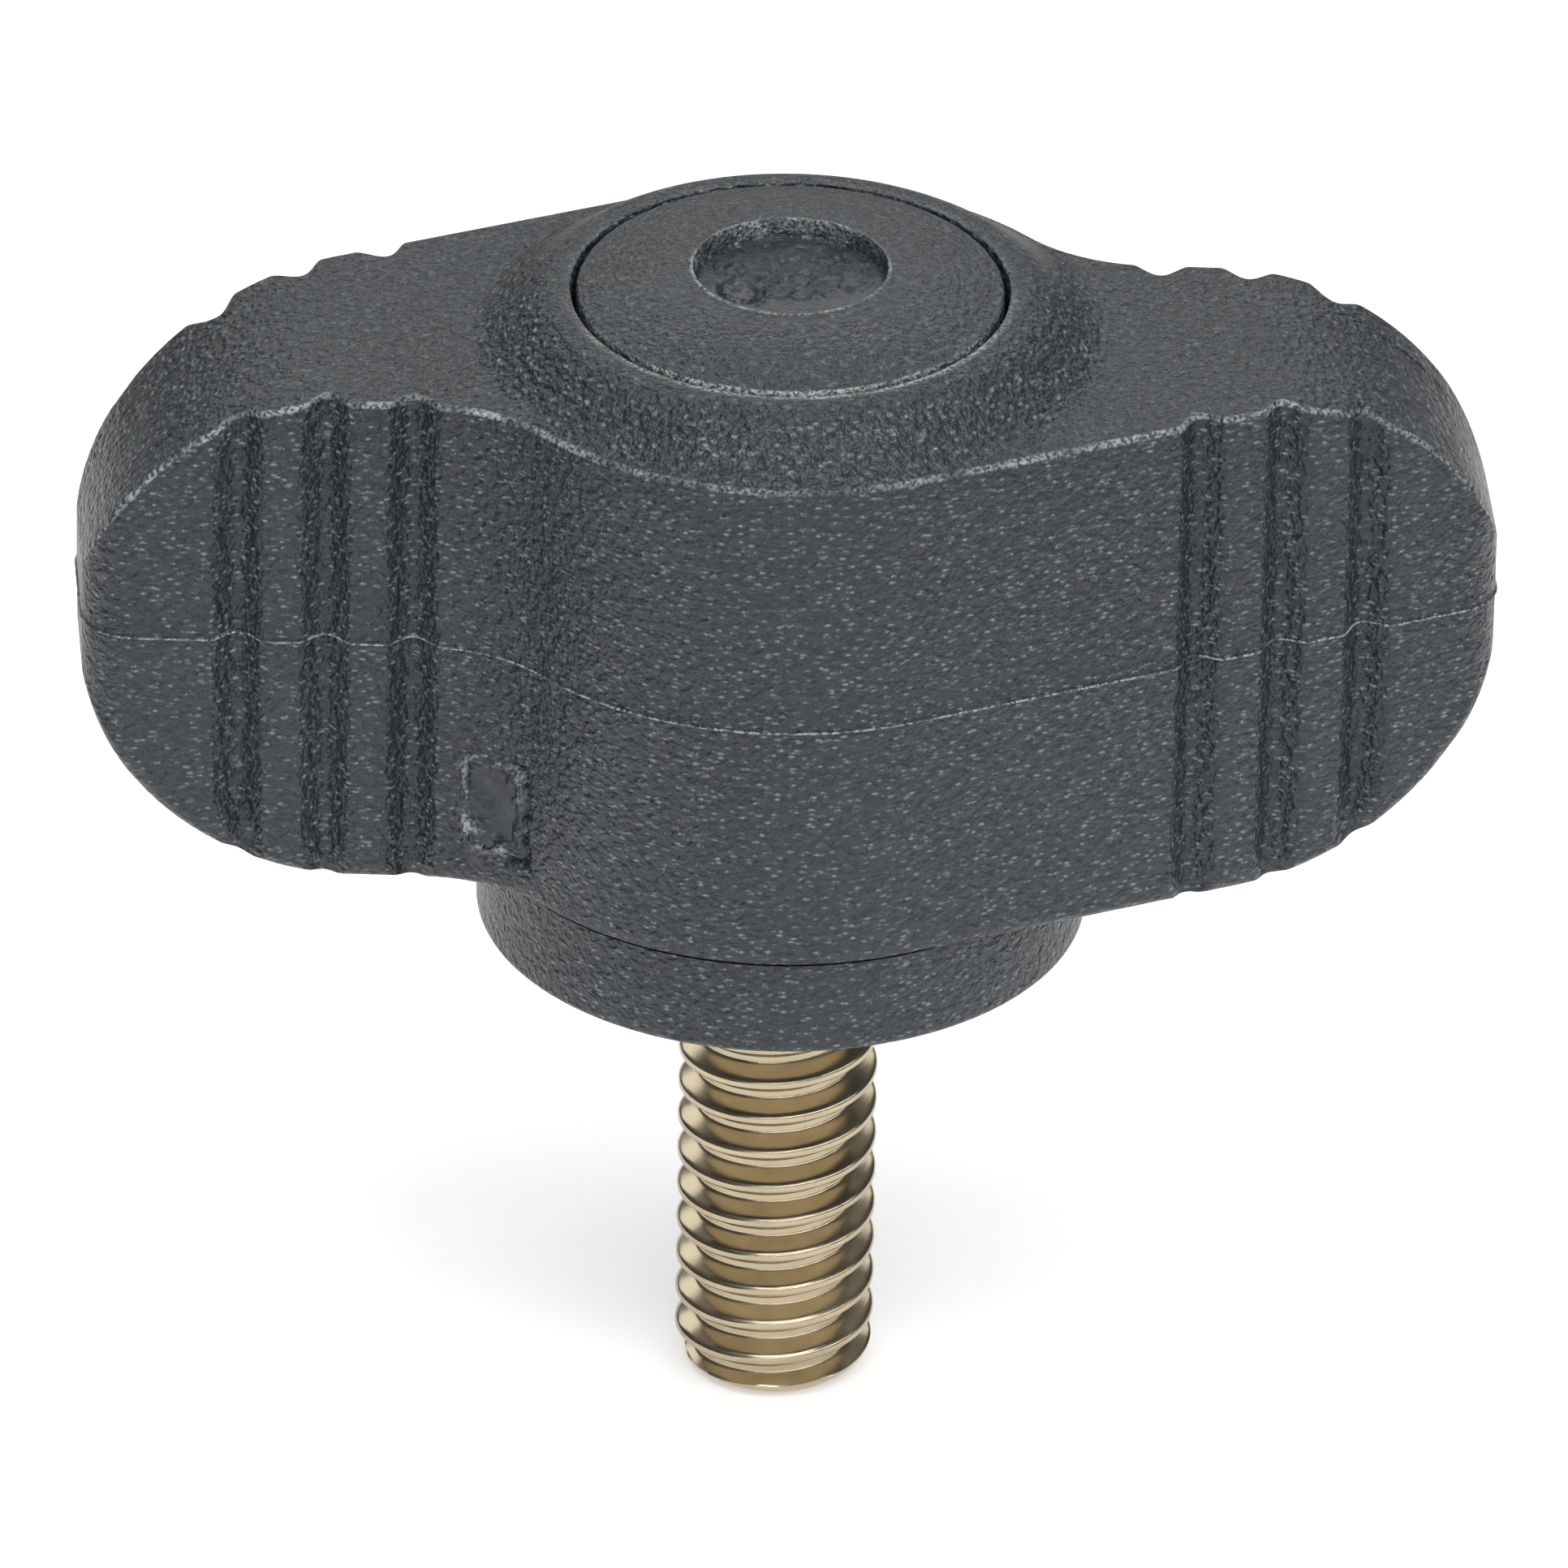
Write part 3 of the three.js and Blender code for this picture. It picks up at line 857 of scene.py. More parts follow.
@dataclass
class WingBody:
    """The moulded hub, wings, boss and collar, hollow inside for the cap and the stud's head."""

    sizes: FrameSizes
    gate: GateMark = field(default_factory=GateMark)
    end_radius: float = 8.55
    parting: float = 11.78
    tip_flat: float = 0.22
    steepest: float = 0.9999
    draft_up: float = 0.002
    draft_down: float = math.tan(math.radians(0.5))
    top_edge: float = 0.2
    bottom_edge: float = 0.55
    edge_steps: int = 5
    edge_blend: float = 0.75
    nearly_flat: float = 0.999
    rim_inset: float = 1.3
    boss_radius: float = 9.58
    boss_edge: float = 0.28
    collar_foot: float = 10.15
    collar_rim: float = 7.12
    mouth_radius: float = 6.80
    recess_ledge: float = 20.1
    recess_radius: float = 6.2
    recess_floor: float = 15.6
    core_radius: float = 3.2
    head_gap: float = 0.3
    pocket_gap: float = 0.25
    pocket_floor: float = 4.1
    bore_radius: float = 3.45
    bore_flare: float = 0.2
    flash_height: float = 0.06
    flash_half_width: float = 0.05
    flash_wander: float = 0.02
    flash_raggedness: float = 0.8
    flash_wear: float = 2.0
    flash_wear_change: float = 1.5
    stations: list[Station] = field(init=False)
    angles: list[float] = field(init=False)
    end_centre: float = field(init=False)
    wing_top: float = field(init=False)
    gate_run: float = field(init=False)

    def __post_init__(self) -> None:
        """Lay out the outline that the rings follow, and find the gate mark's place on it."""
        self.stations = KnobOutline(self.sizes.reach, self.sizes.hub_radius).stations()
        clear = self.inset_ring(self.rim_inset, 0.0, self.sizes.reach)
        self.angles = [math.atan2(p.y, p.x) for p in clear]
        self.end_centre = self.sizes.reach - self.end_radius + self.tip_flat
        self.wing_top = self.parting + self.end_radius
        middle = Vector(self.gate.at)
        self.gate_run = min(self.stations, key=lambda s: (s.at - middle).length).run

    def side(self, x: float) -> tuple[float, float]:
        """Find how high the wing is at a distance along X.

        Args:
            x: the distance.

        Returns:
            Half the wing's height there, and the rim's slope as its sine.
        """
        beyond = max(0.0, abs(x) - self.end_centre)
        sine = min(self.steepest, beyond / self.end_radius)
        return self.end_radius * math.sqrt(1 - sine * sine), sine

    def wall(self, station: Station, height: float, grooved: bool = True) -> Vector:
        """Find a point on the drafted side wall.

        Args:
            station: the place on the outline.
            height: the point's height.
            grooved: whether it is in the station's groove, or as if the groove weren't there.

        Returns:
            The point.
        """
        above = height - self.parting
        inset = abs(above) * (self.draft_up if above > 0 else self.draft_down)
        at = station.at - station.out * (inset + station.cut * grooved)
        return Vector((at.x, at.y, height))

    def edge(self, station: Station, up: int, turn: float) -> Vector:
        """A point on the rounded edge between the side wall and the rim.

        The top edge follows the grooves. The lower one is rounder, and the grooves run out in it.

        Args:
            station: the place on the outline.
            up: 1 for the top edge and -1 for the bottom one.
            turn: 0 where the edge leaves the wall, 1 where it meets the rim.

        Returns:
            The point.
        """
        radius = self.top_edge if up > 0 else self.bottom_edge
        half, sine = self.side(station.at.x)
        height = self.top_height(station.at.x, station.at.y) if up > 0 else self.parting - half
        sharp = self.wall(station, height, grooved=up > 0)
        wall_out = Vector((station.out.x, station.out.y, 0.0))
        lean = math.copysign(sine, station.at.x)
        rim_out = Vector((lean, 0.0, up * math.sqrt(1 - sine * sine)))
        together = wall_out.dot(rim_out)
        point = sharp - (wall_out + rim_out) * (radius / (1 + together))
        if together > self.nearly_flat:
            point += wall_out.lerp(rim_out, turn).normalized() * radius
        else:
            point += wall_out.slerp(rim_out, turn) * radius
        if up < 0:
            groove_floor = self.wall(station, point.z)
            point -= wall_out * max(0.0, (point - groove_floor).dot(wall_out))
        return point

    def add_wall_ring(self, surface: RingSurface, up: int, share: float) -> None:
        """Add a ring of the side wall.

        Args:
            surface: the surface to add it to.
            up: 1 for the wall above the parting and -1 for the wall below it.
            share: where the ring is, 0 at the parting and 1 where the edge starts.
        """
        ring = []
        wear_and_highlight_values = []
        start = self.parting + up * self.flash_half_width
        for station in self.stations:
            end = self.edge(station, up, 0.0)
            height = start + (end.z - start) * share
            drift = end - self.wall(station, end.z)
            follow = smooth_step((share - self.edge_blend) / (1 - self.edge_blend))
            point = self.wall(station, height) + drift * follow
            out = Vector((station.out.x, station.out.y, 0.0))
            relief, wear_and_highlight = self.gate.relief(station.run - self.gate_run, height - self.gate.height)
            ring.append(point + out * relief)
            wear_and_highlight_values.append(wear_and_highlight)
        surface.add(ring, wear_and_highlight_values)

    def add_flash(self, surface: RingSurface) -> None:
        """Add the thin ragged line of flash that stands out at the parting.

        Args:
            surface: the surface to add it to.
        """
        ring = []
        wear_and_highlight_values = []
        for station in self.stations:
            ragged = waver(station.run * 1.3, 0.0, 3.0)
            wander = self.flash_wander * waver(station.run * 0.7, 5.0, 0.0)
            point = self.wall(station, self.parting + wander)
            out = Vector((station.out.x, station.out.y, 0.0))
            ring.append(point + out * (self.flash_height * (1 + self.flash_raggedness * ragged)))
            wear_and_highlight_values.append(self.flash_wear + self.flash_wear_change * ragged)
        surface.add(ring, wear_and_highlight_values)

    def top_height(self, x: float, y: float) -> float:
        """Find the height of the upper surface: the wings' rim, and the collar's slope over it.

        Args:
            x: the place along X.
            y: the place along Y.

        Returns:
            The height.
        """
        radius = math.hypot(x, y)
        rise = smooth_step((self.collar_foot - radius) / (self.collar_foot - self.collar_rim))
        rim = self.parting + self.side(x)[0]
        return rim + (self.sizes.collar_top - self.wing_top) * rise

    def bottom_height(self, x: float, y: float) -> float:
        """The height of the lower surface, flat under the hub and curved up to the tips."""
        return self.parting - self.side(x)[0]

    def inset_ring(self, inset: float, least: float, most: float) -> list[Vector]:
        """A ring inside the outline, clear of the grooves.

        Args:
            inset: how far inside the outline.
            least: the ring's smallest radius.
            most: its largest radius.

        Returns:
            The ring, at height 0.
        """
        ring = []
        for station in self.stations:
            at = station.at - station.out * inset
            at *= min(most, max(least, at.length)) / at.length
            ring.append(Vector((at.x, at.y, 0.0)))
        return ring

    def add_between(
        self,
        surface: RingSurface,
        target: Sequence[Vector],
        height: Callable[[float, float], float],
        count: int,
    ) -> None:
        """Add rings across a surface, from the last ring to a target ring.

        Args:
            surface: the surface to add them to.
            target: the last ring to add.
            height: the surface's height over X and Y.
            count: how many rings to add.
        """
        start = surface.rings[-1]
        for share in steps(0.0, 1.0, count):
            flat = [a.lerp(b, share) for a, b in zip(start, target)]
            surface.add([Vector((p.x, p.y, height(p.x, p.y))) for p in flat])

    def add_upper_side(self, surface: RingSurface) -> None:
        """Add the wall above the parting, its rounded edge, the wings' top and the collar.

        Args:
            surface: the surface to add them to.
        """
        for share in [0.0, *steps(0.0, 1.0, 7)]:
            self.add_wall_ring(surface, 1, share)
        # The top edge is painted pale: partly scuffs, worse out on the wings, and partly a painted
        # highlight where the light catches it
        for turn in steps(0.0, 1.0, self.edge_steps):
            rub_and_highlight = min(1.0, 1.5 * math.sin(math.pi * min(1.0, 0.1 + 0.9 * turn)))
            wear_and_highlight_values = [rub_and_highlight * (0.45 + 0.55 * smooth_step(abs(s.at.x) / 9)) for s in self.stations]
            surface.add([self.edge(s, 1, turn) for s in self.stations], wear_and_highlight_values)
        clear = self.inset_ring(self.rim_inset, 0.0, self.sizes.reach)
        foot = self.inset_ring(self.rim_inset, 0.0, self.collar_foot)
        rim = circle(self.collar_rim, self.sizes.collar_top, self.angles)
        for target, count in ((clear, 5), (foot, 12), (rim, 18)):
            self.add_between(surface, target, self.top_height, count)

    def add_inside(self, surface: RingSurface) -> None:
        """Add the rim's inner edge, the cap's recess, the head's pocket, the bore and the boss.

        Args:
            surface: the surface to add them to.
        """
        # The mouth's rim has faint scuffs all round, and a painted highlight at its front
        front = [0.2 + 1.3 * smooth_step(-math.sin(angle)) for angle in self.angles]
        for out, down, wear_and_highlight in ((0.14, 0.0, front), (0.04, 0.03, front), (0.0, 0.13, 0.0)):
            rim = circle(self.mouth_radius + out, self.sizes.collar_top - down, self.angles)
            surface.add(rim, wear_and_highlight)
        pocket = self.sizes.head_radius + self.pocket_gap
        pocket_top = self.sizes.head_top + self.head_gap
        inner = [
            (self.mouth_radius, self.recess_ledge),
            (self.recess_radius, self.recess_ledge),
            (self.recess_radius, self.recess_floor),
            (self.core_radius, self.recess_floor),
            (self.core_radius, pocket_top),
            (pocket, pocket_top),
            (pocket, self.pocket_floor),
            (self.bore_radius, self.pocket_floor),
            (self.bore_radius, self.bore_flare),
            (self.bore_radius + self.bore_flare, 0.0),
        ]
        edge_start = self.boss_radius - self.boss_edge
        boss = [
            (edge_start + self.boss_edge * math.sin(turn), self.boss_edge * (1 - math.cos(turn)))
            for turn in [0.0, *steps(0.0, math.pi / 2, 5)]
        ]
        foot = self.parting - self.end_radius
        side = [(self.boss_radius, height) for height in steps(self.boss_edge, foot, 5)]
        for radius, height in [*inner, *boss, *side]:
            surface.add(circle(radius, height, self.angles))

    def add_lower_side(self, surface: RingSurface) -> None:
        """Add the wings' underside, the rounded lower edge and the wall up to the parting.

        Args:
            surface: the surface to add them to.
        """
        clear = self.inset_ring(self.rim_inset, self.boss_radius + 0.04, self.sizes.reach)
        self.add_between(surface, clear, self.bottom_height, 18)
        rim = [self.edge(station, -1, 1.0) for station in self.stations]
        self.add_between(surface, rim, self.bottom_height, 3)
        for turn in steps(1.0, 0.0, self.edge_steps + 3):
            surface.add([self.edge(station, -1, turn) for station in self.stations])

        # The rings are closer together where the gate mark is
        mark_top, mark_bottom = 0.26, 0.92
        marked = steps(mark_bottom, mark_top, 46)
        for share in [*steps(1.0, mark_bottom, 2), *marked, *steps(mark_top, 0.0, 4)]:
            self.add_wall_ring(surface, -1, share)

    def build(self) -> bpy.types.Object:
        """Build the moulding as one closed surface and dress it.

        Returns:
            The finished piece.
        """
        surface = RingSurface()
        self.add_flash(surface)
        self.add_upper_side(surface)
        self.add_inside(surface)
        self.add_lower_side(surface)
        surface.close()
        mesh = bmesh.new()
        surface.build(mesh)
        return finish_piece(mesh, "wing_moulding", Finish.KNOB, "knob", "wing_body")


@dataclass
class CoverCap:
    """The press-in cap: a domed plate with a dimple, over a skirt that grips the hub."""

    sizes: FrameSizes
    collar_top: float
    edge: float = 0.17
    dimple_radius: float = 3.07
    dimple_depth: float = 0.58
    dimple_rings: int = 36
    lip: float = 0.03
    proud: float = 0.05
    dome_rings: int = 14
    dome_fullness: float = 1.8
    plate_bottom: float = 20.4
    skirt_radius: float = 5.7
    skirt_wall: float = 1.1
    bead: float = 0.2
    turns: int = 160
    floor_wear: float = -0.65
    cone_at: tuple[float, float] = (0.05, -0.35)
    cone_radius: float = 2.9
    cone_depth: float = 0.42
    crease_depth: float = 0.07
    floor_roughness: float = 0.07
    mark_at: tuple[float, float] = (-1.62, -0.25)
    mark_radius: float = 0.62
    mark_depth: float = 0.12
    outer_mark_radius: float = 0.86
    outer_mark_depth: float = 0.07

    def profile(self) -> list[tuple[float, float]]:
        """Lay out half of the cap's section.

        Returns:
            Radii and heights, from the middle of the top to the middle of the underside.
        """
        crown = self.sizes.cap_crown - self.lip
        floor = crown - self.dimple_depth
        dimple = self.dimple_radius
        made = [(0.0, floor)]
        made += [(radius, floor) for radius in steps(0.0, dimple - 0.16, self.dimple_rings)]
        made += [
            (dimple - 0.11, floor + 0.05),
            (dimple - 0.09, floor + 0.2),
            (dimple - 0.07, crown - 0.06),
            (dimple - 0.03, crown + self.lip),
            (dimple + 0.03, crown + self.lip),
            (dimple + 0.10, crown),
        ]

        # The top falls in a shallow dome to the shoulder, and rounds over it to the side
        radius = self.sizes.cap_radius
        shoulder = radius - self.edge
        shoulder_height = self.collar_top + self.proud
        drop = crown - shoulder_height
        for run in steps(0.0, 1.0, self.dome_rings):
            out = dimple + 0.1 + (shoulder - dimple - 0.1) * run
            made.append((out, crown - drop * run ** self.dome_fullness))
        for turn in steps(0.0, math.pi / 2, 4):
            out = shoulder + self.edge * math.sin(turn)
            made.append((out, shoulder_height - self.edge * (1 - math.cos(turn))))

        foot = self.sizes.cap_foot
        inner = self.skirt_radius - self.skirt_wall
        made += [
            (radius, self.plate_bottom),
            (self.skirt_radius, self.plate_bottom),
            (self.skirt_radius, foot + 4 * self.bead),
            (self.skirt_radius + self.bead, foot + 2 * self.bead),
            (self.skirt_radius - self.bead, foot),
            (inner, foot),
            (inner, self.plate_bottom),
            (0.0, self.plate_bottom),
        ]
        return made

    def floor_relief(self, x: float, y: float) -> float:
        """Find how high the dimple's floor is over its flat section.

        Args:
            x: the place along X.
            y: the place along Y.

        Returns:
            The height of its shallow cone, its creases behind and its round mark, in millimetres.
        """
        back = smooth_step(y + 1.0)
        off_cone = math.hypot(x - self.cone_at[0], y - self.cone_at[1])
        cone = -self.cone_depth * smooth_step(1 - off_cone / self.cone_radius)
        creased = abs(waver(x * 1.3 + 7.0, y * 1.3, 1.0))
        creases = -self.crease_depth * smooth_step(1 - creased / 0.09) * back
        rough = self.floor_roughness * waver(x * 3.0, y * 3.0, 1.0) * back
        away = math.hypot(x - self.mark_at[0], y - self.mark_at[1])
        mark = 0.05 * smooth_step((0.6 - away) / 0.1)
        mark -= self.mark_depth * bell(away - self.mark_radius, 0.07)
        mark -= self.outer_mark_depth * bell(away - self.outer_mark_radius, 0.06) * smooth_step(x + 1.7)
        return cone + creases + rough + mark

    def sculpt_top(self, mesh: bmesh.types.BMesh, wear_and_highlight: bmesh.types.BMLayerItem) -> None:
        """Sculpt the dimple's floor, and paint highlights on the wall behind it and on the front of the
        cap's edge.

        Args:
            mesh: the cap.
            wear_and_highlight: the mesh's wear layer.
        """
        crown = self.sizes.cap_crown - self.lip
        floor = crown - self.dimple_depth
        limit = self.dimple_radius - 0.12
        for corner in mesh.verts:
            x, y, z = corner.co / MM
            radius = math.hypot(x, y)
            from_edge = abs(radius - self.sizes.cap_radius)
            if from_edge < 0.6 * self.edge and z > self.collar_top - 0.3:
                # A painted highlight along the front of the cap's edge
                corner[wear_and_highlight] = 1.3 * smooth_step(-y / radius)
            elif radius <= limit and z >= floor - 0.02:
                fade = smooth_step((limit - radius) / 0.3)
                corner.co.z += fade * self.floor_relief(x, y) * MM
                corner[wear_and_highlight] = self.floor_wear * fade
            elif radius < self.dimple_radius - 0.04 and floor + 0.1 < z < crown and y > 0.5:
                # A painted highlight, with faint blotches, on the wall behind the dimple, which faces the
                # front
                corner[wear_and_highlight] = 0.55 + 0.5 * waver(x * 2.0, y * 2.0, 3.0)

    def build(self) -> bpy.types.Object:
        """Spin the section round the axis, sculpt the dimple and dress the cap.

        Returns:
            The finished piece.
        """
        mesh = bmesh.new()
        wear_and_highlight = mesh.verts.layers.float.new("wear_and_highlight")
        profile = self.profile()
        corners = [mesh.verts.new(Vector((radius, 0.0, height)) * MM) for radius, height in profile]
        lip_radius = self.dimple_radius * MM
        for corner in corners:
            corner[wear_and_highlight] = 0.8 if abs(corner.co.x - lip_radius) < 0.05 * MM else 0.0
        edges = [mesh.edges.new(pair) for pair in zip(corners, corners[1:])]
        bmesh.ops.spin(
            mesh,
            geom=corners + edges,
            cent=(0.0, 0.0, 0.0),
            axis=(0.0, 0.0, 1.0),
            angle=2 * math.pi,
            steps=self.turns,
            use_merge=True,
        )
        bmesh.ops.remove_doubles(mesh, verts=mesh.verts, dist=0.0005 * MM)
        self.sculpt_top(mesh, wear_and_highlight)
        return finish_piece(mesh, "cover_cap_moulding", Finish.CAP, "cap", "cover_cap")


@dataclass
class ThreadedStud:
    """The steel stud: a rolled right-hand thread below a knurled head that the hub holds."""

    sizes: FrameSizes
    pitch: float = 25.4 / 20
    crest_radius: float = 3.15
    depth: float = 0.62
    crest_half_width: float = 0.13
    crest_rounding: float = 0.09
    root_rounding: float = 0.12
    flank: float = 1 / math.tan(math.radians(30))
    profile_steps: int = 36
    columns: int = 112
    tip_radius: float = 2.15
    tip_length: float = 1.15
    thread_top: float = 0.9
    shank_radius: float = 2.95
    shank_run_out: float = 0.5
    head_bottom: float = 4.4
    chamfer_height: float = 0.4
    chamfer_width: float = 0.5
    neck_depth: float = 0.9
    neck_half_length: float = 0.9
    knurl_count: int = 36
    knurl_depth: float = 0.28
    knurl_corners: int = 4
    centring_hole: tuple[tuple[float, float], ...] = ((1.2, 0.0), (0.9, 0.5), (0.1, 0.9))

    def radius_at(self, share: float) -> float:
        """The radius across one pitch of the 60 degree thread.

        Args:
            share: the place across the pitch, 0.5 at the middle of the crest.

        Returns:
            The radius, rounded at the crest's corners and in the root.
        """
        beside = abs(share - 0.5) * self.pitch - self.crest_half_width
        fallen = self.flank * soft_ramp(beside, self.crest_rounding)
        return self.crest_radius - self.depth + soft_ramp(self.depth - fallen, self.root_rounding)

    def envelope(self, height: float) -> float:
        """Find the blank's radius at a height: it rounds in towards the stud's end.

        Args:
            height: the height.

        Returns:
            The largest radius that the thread may have there.
        """
        above = (height + self.sizes.stud_length) / self.tip_length
        if above >= 1:
            return self.crest_radius
        rounding = math.sqrt(max(0.0, 1 - (1 - above) ** 2))
        return self.tip_radius + (self.crest_radius - self.tip_radius) * rounding

    def roll_thread(self, mesh: bmesh.types.BMesh) -> None:
        """Wrap a grid round the stud as a right-hand screw, each column a little higher than the last.

        Args:
            mesh: the mesh to build in.
        """
        start = -self.sizes.stud_length - 2 * self.pitch
        rows = (math.ceil((self.thread_top - start) / self.pitch) + 1) * self.profile_steps
        corners = grid_corners(mesh, self.columns, rows)
        for index, corner in enumerate(corners):
            row, column = divmod(index, self.columns + 1)
            radius = self.radius_at(row % self.profile_steps / self.profile_steps)
            angle = 2 * math.pi * column / self.columns
            pitches = row / self.profile_steps + column / self.columns
            height = start + pitches * self.pitch
            corner.co = Vector((radius * math.cos(angle), radius * math.sin(angle), height)) * MM
        bmesh.ops.remove_doubles(mesh, verts=corners, dist=WELD)

    def trim_thread(self, mesh: bmesh.types.BMesh) -> None:
        """Cut the thread to length, round its end and close it.

        Args:
            mesh: the rolled thread.
        """
        for corner in mesh.verts:
            x, y, z = corner.co / MM
            radius = math.hypot(x, y)
            limit = self.envelope(z)
            if radius > limit:
                corner.co.x *= limit / radius
                corner.co.y *= limit / radius
        for height, side in ((-self.sizes.stud_length, -1.0), (self.thread_top, 1.0)):
            bmesh.ops.bisect_plane(
                mesh,
                geom=mesh.verts[:] + mesh.edges[:] + mesh.faces[:],
                plane_co=(0.0, 0.0, height * MM),
                plane_no=(0.0, 0.0, side),
                clear_outer=True,
                dist=1e-8,
            )
        open_edges = [edge for edge in mesh.edges if edge.is_boundary]
        end = [edge for edge in open_edges if edge.verts[0].co.z < -self.pitch * MM]
        bmesh.ops.edgeloop_fill(mesh, edges=end)

    def knurl(self, height: float, angles: Sequence[float]) -> list[Vector]:
        """Lay out a ring of the straight knurling, with pointed teeth.

        Args:
            height: the ring's height.
            angles: the corners' angles, in radians.

        Returns:
            The ring's corners.
        """
        ring = []
        for angle in angles:
            tooth = abs(((angle * self.knurl_count / (2 * math.pi)) % 1.0) * 2 - 1)
            radius = self.sizes.head_radius - self.knurl_depth * tooth
            ring.append(Vector((radius * math.cos(angle), radius * math.sin(angle), height)))
        return ring

    def add_head(self, mesh: bmesh.types.BMesh) -> None:
        """Build the shank and the knurled head, with a centring hole in its top.

        Args:
            mesh: the mesh to add them to.
        """
        angles = even_angles(self.knurl_count * self.knurl_corners)
        bottom, top = self.head_bottom, self.sizes.head_top
        middle = (top + bottom) / 2
        neck = self.sizes.head_radius - self.neck_depth
        chamfer = self.sizes.head_radius - self.chamfer_width
        surface = RingSurface()
        for ring in (
            circle(self.shank_radius, self.thread_top + self.shank_run_out, angles),
            circle(self.shank_radius, bottom, angles),
            circle(chamfer, bottom, angles),
            self.knurl(bottom + self.chamfer_height, angles),
            self.knurl(middle - self.neck_half_length - 0.1, angles),
            circle(neck, middle - self.neck_half_length, angles),
            circle(neck, middle + self.neck_half_length, angles),
            self.knurl(middle + self.neck_half_length + 0.1, angles),
            self.knurl(top - self.chamfer_height, angles),
            circle(chamfer, top, angles),
            *(circle(radius, top - down, angles) for radius, down in self.centring_hole),
        ):
            surface.add(ring)
        surface.build(mesh)

    def build(self) -> bpy.types.Object:
        """Roll the thread, join the head to it and dress the stud.

        Returns:
            The finished piece.
        """
        mesh = bmesh.new()
        self.roll_thread(mesh)
        self.trim_thread(mesh)
        self.add_head(mesh)
        open_edges = [edge for edge in mesh.edges if edge.is_boundary]
        hole = {edge for edge in open_edges if edge.verts[0].co.z > self.head_bottom * MM}
        bmesh.ops.edgeloop_fill(mesh, edges=[edge for edge in open_edges if edge in hole])
        bmesh.ops.bridge_loops(mesh, edges=[edge for edge in open_edges if edge not in hole])
        return finish_piece(mesh, "rolled_stud", Finish.STUD, "knob", "threaded_stud")


# ----------------------------------------------------------------------------------------------
# Studio


@dataclass
class SoftBox:
    """One large soft light that faces the knob."""

    name: str
    at: tuple[float, float, float]
    size: tuple[float, float]
    power: float
    def hang(self, aim: Vector) -> None:
        """Place the light and turn it towards a point.

        Args:
            aim: the point.
        """
        light = bpy.data.lights.new(self.name, "AREA")
        light.shape = "RECTANGLE"
        light.size, light.size_y = self.size
        light.energy = self.power
        lamp = place_object(self.name, light)
        lamp.location = self.at
        lamp.rotation_euler = (Vector(self.at) - aim).to_track_quat("Z", "Y").to_euler()


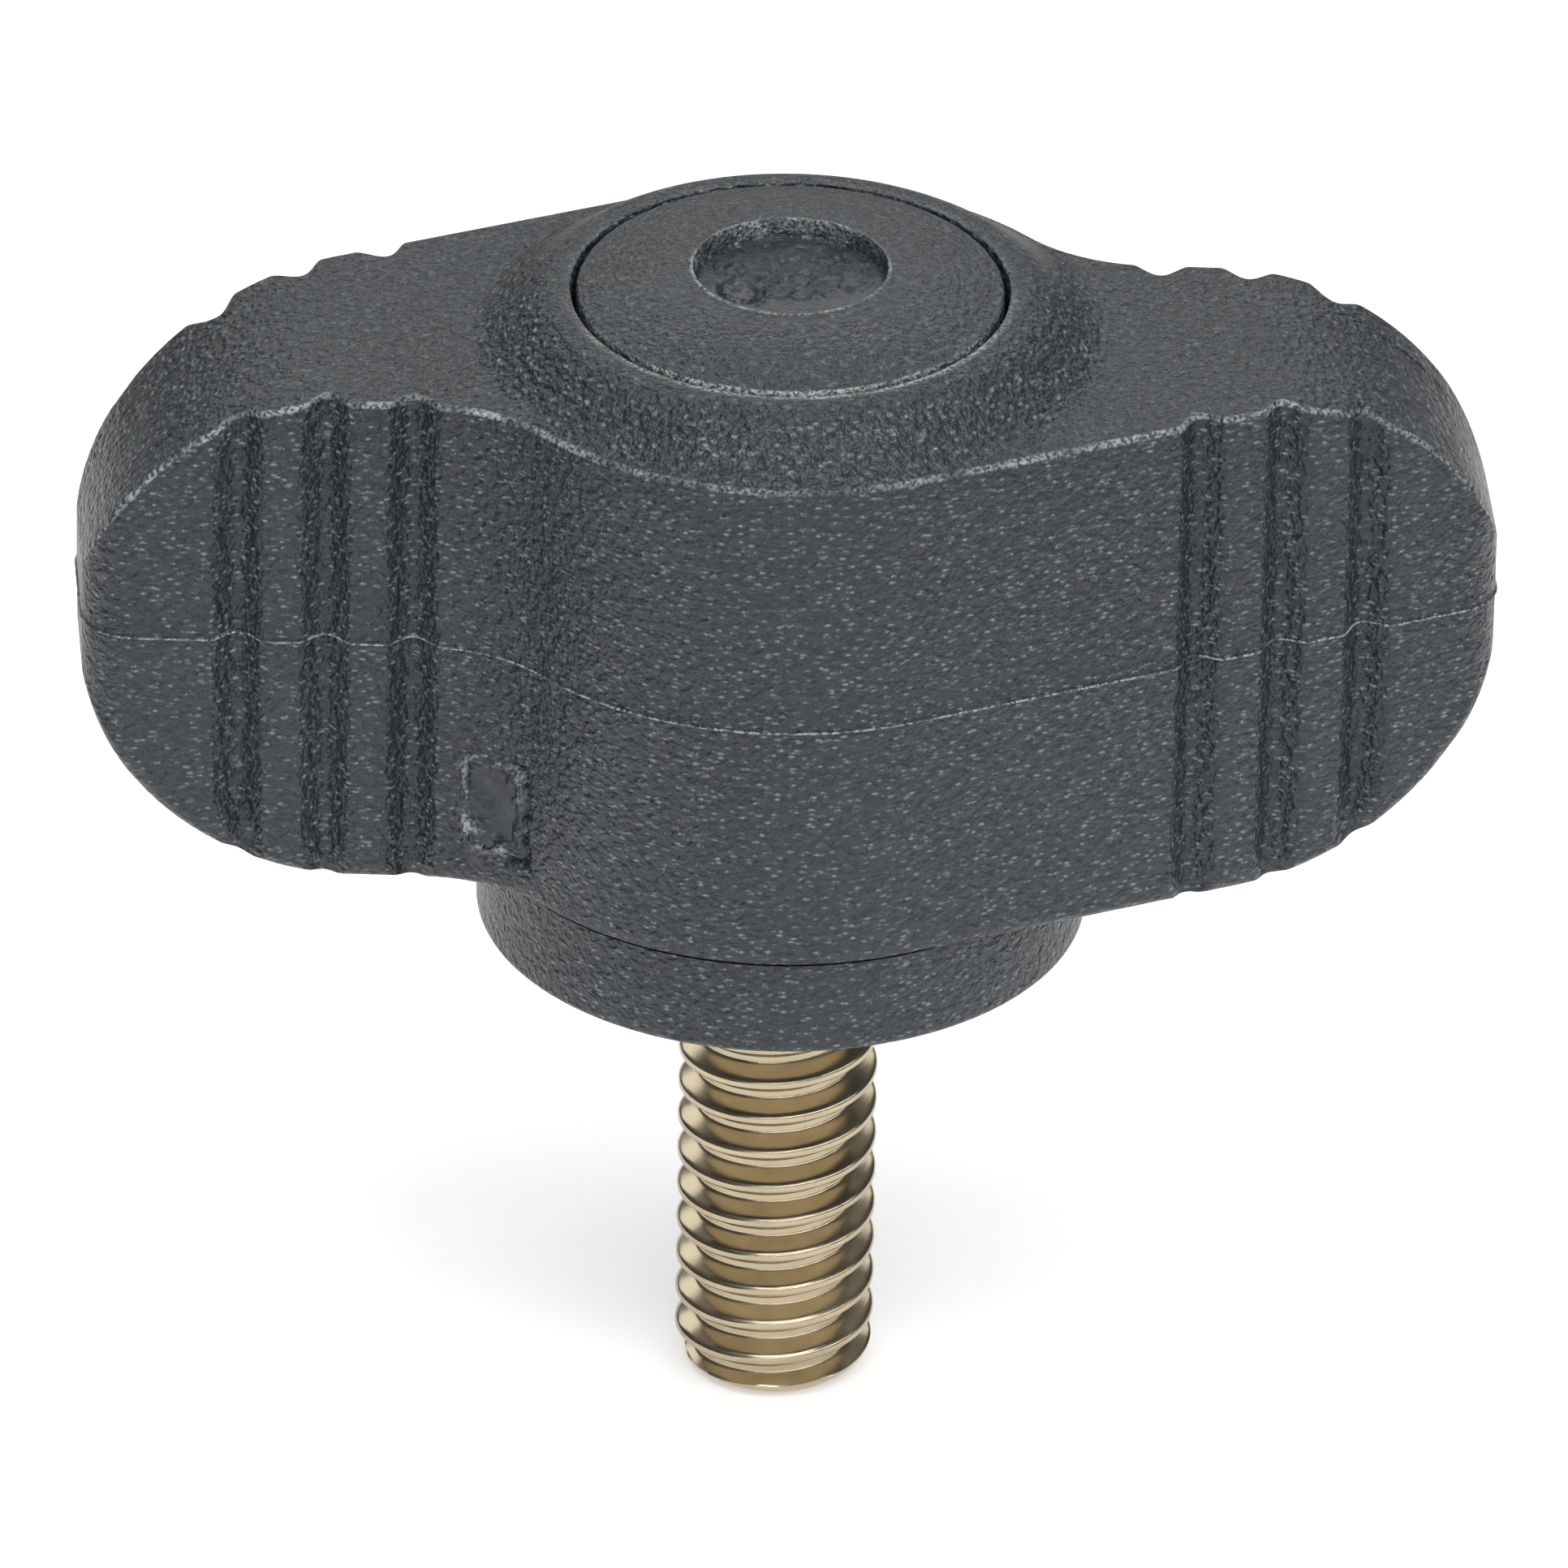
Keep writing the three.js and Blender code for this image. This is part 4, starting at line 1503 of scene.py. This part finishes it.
@dataclass
class Studio:
    """A pale sheet, soft light from above, from the front and from behind, and the camera."""

    sizes: FrameSizes
    azimuth: float = math.radians(-4.553)
    elevation: float = math.radians(30.2336)
    roll: float = math.radians(0.931)
    distance: float = 0.7
    lens: float = 512.15
    aim: Vector = field(default_factory=lambda: Vector((0.05, 0.0, 4.173)) * MM)
    lights: tuple[SoftBox, ...] = (
        SoftBox("top_box", (0.0, -0.18, 0.57), (0.50, 0.40), 2.7),
        SoftBox("key_box", (0.25, -0.52, 0.46), (2.20, 0.10), 3.2),
        SoftBox("front_box", (0.10, -0.90, 0.16), (2.40, 0.15), 2.4),
        SoftBox("back_box", (0.0, 0.60, 0.29), (1.00, 0.32), 1.55),
    )
    sheet_half_width: float = 3.0
    sheet_gap: float = 0.02
    surround_strength: float = 0.75
    side_tone: float = 0.2
    horizon_tone: float = 0.12

    def lay_floor(self) -> None:
        """Lay the paper sheet under the stud's end."""
        mesh = bmesh.new()
        bmesh.ops.create_grid(mesh, x_segments=4, y_segments=4, size=self.sheet_half_width)
        level = -(self.sizes.stud_length + self.sheet_gap) * MM
        bmesh.ops.translate(mesh, verts=mesh.verts, vec=(0.0, 0.0, level))
        data = bpy.data.meshes.new("paper_sheet")
        mesh.to_mesh(data)
        mesh.free()
        sheet = place_object("paper_sheet", data)
        data.materials.append(PaperSweep().material())

    def light(self) -> None:
        """Hang the soft boxes and set the pale surroundings, dimmer at the sides and low down."""
        for box in self.lights:
            box.hang(self.aim)
        world = bpy.data.worlds.new("studio")
        bpy.context.scene.world = world
        world.use_nodes = True
        graph = NodeGraph(world.node_tree)
        parts = graph.add("ShaderNodeSeparateXYZ")
        graph.join(graph.add("ShaderNodeTexCoord").outputs["Generated"], parts.inputs["Vector"])
        aside = graph.math("ABSOLUTE", parts.outputs["X"])
        sideways = graph.spread(aside, 0.0, 1.0, start=0.15, end=0.75)
        low_down = graph.spread(parts.outputs["Z"], 1.0, 0.0, start=0.15, end=0.8)
        white = (1.0, 1.0, 1.0)
        tint = graph.blend(sideways, white, shade(white, self.side_tone))
        tint = graph.blend(low_down, tint, shade(white, self.horizon_tone))
        background = graph.add("ShaderNodeBackground", Strength=self.surround_strength)
        graph.join(tint, background.inputs["Color"])
        graph.show(background.outputs["Background"], "ShaderNodeOutputWorld")

    def set_camera(self) -> None:
        """Stand the camera in front of the knob, above it and a little to its left."""
        data = bpy.data.cameras.new("camera")
        data.sensor_width = 36.0
        data.lens = self.lens
        data.clip_start = 0.01
        data.clip_end = 20.0
        camera = place_object("camera", data)
        level = math.cos(self.elevation)
        back = Vector(
            (math.sin(self.azimuth) * level, -math.cos(self.azimuth) * level, math.sin(self.elevation))
        )
        turn = back.to_track_quat("Z", "Y").to_matrix().to_4x4() @ Matrix.Rotation(self.roll, 4, "Z")
        camera.matrix_world = Matrix.Translation(self.aim + back * self.distance) @ turn
        bpy.context.scene.camera = camera

    def build(self) -> None:
        """Set up the floor, the light and the camera."""
        self.lay_floor()
        self.light()
        self.set_camera()
        bpy.context.scene.view_settings.view_transform = "Standard"

# ----------------------------------------------------------------------------------------------


def main() -> None:
    """Build every piece of the knob, then the studio round it."""
    logging.basicConfig(level=logging.INFO, format="%(name)s: %(message)s")
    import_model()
    sizes = FrameSizes.read()
    builders = (WingBody(sizes), CoverCap(sizes, sizes.collar_top), ThreadedStud(sizes))
    for builder in builders:
        piece = builder.build()
        log.info("%s: %d faces", piece.name, len(piece.data.polygons))
    Studio(sizes).build()


if __name__ == "__main__":
    main()
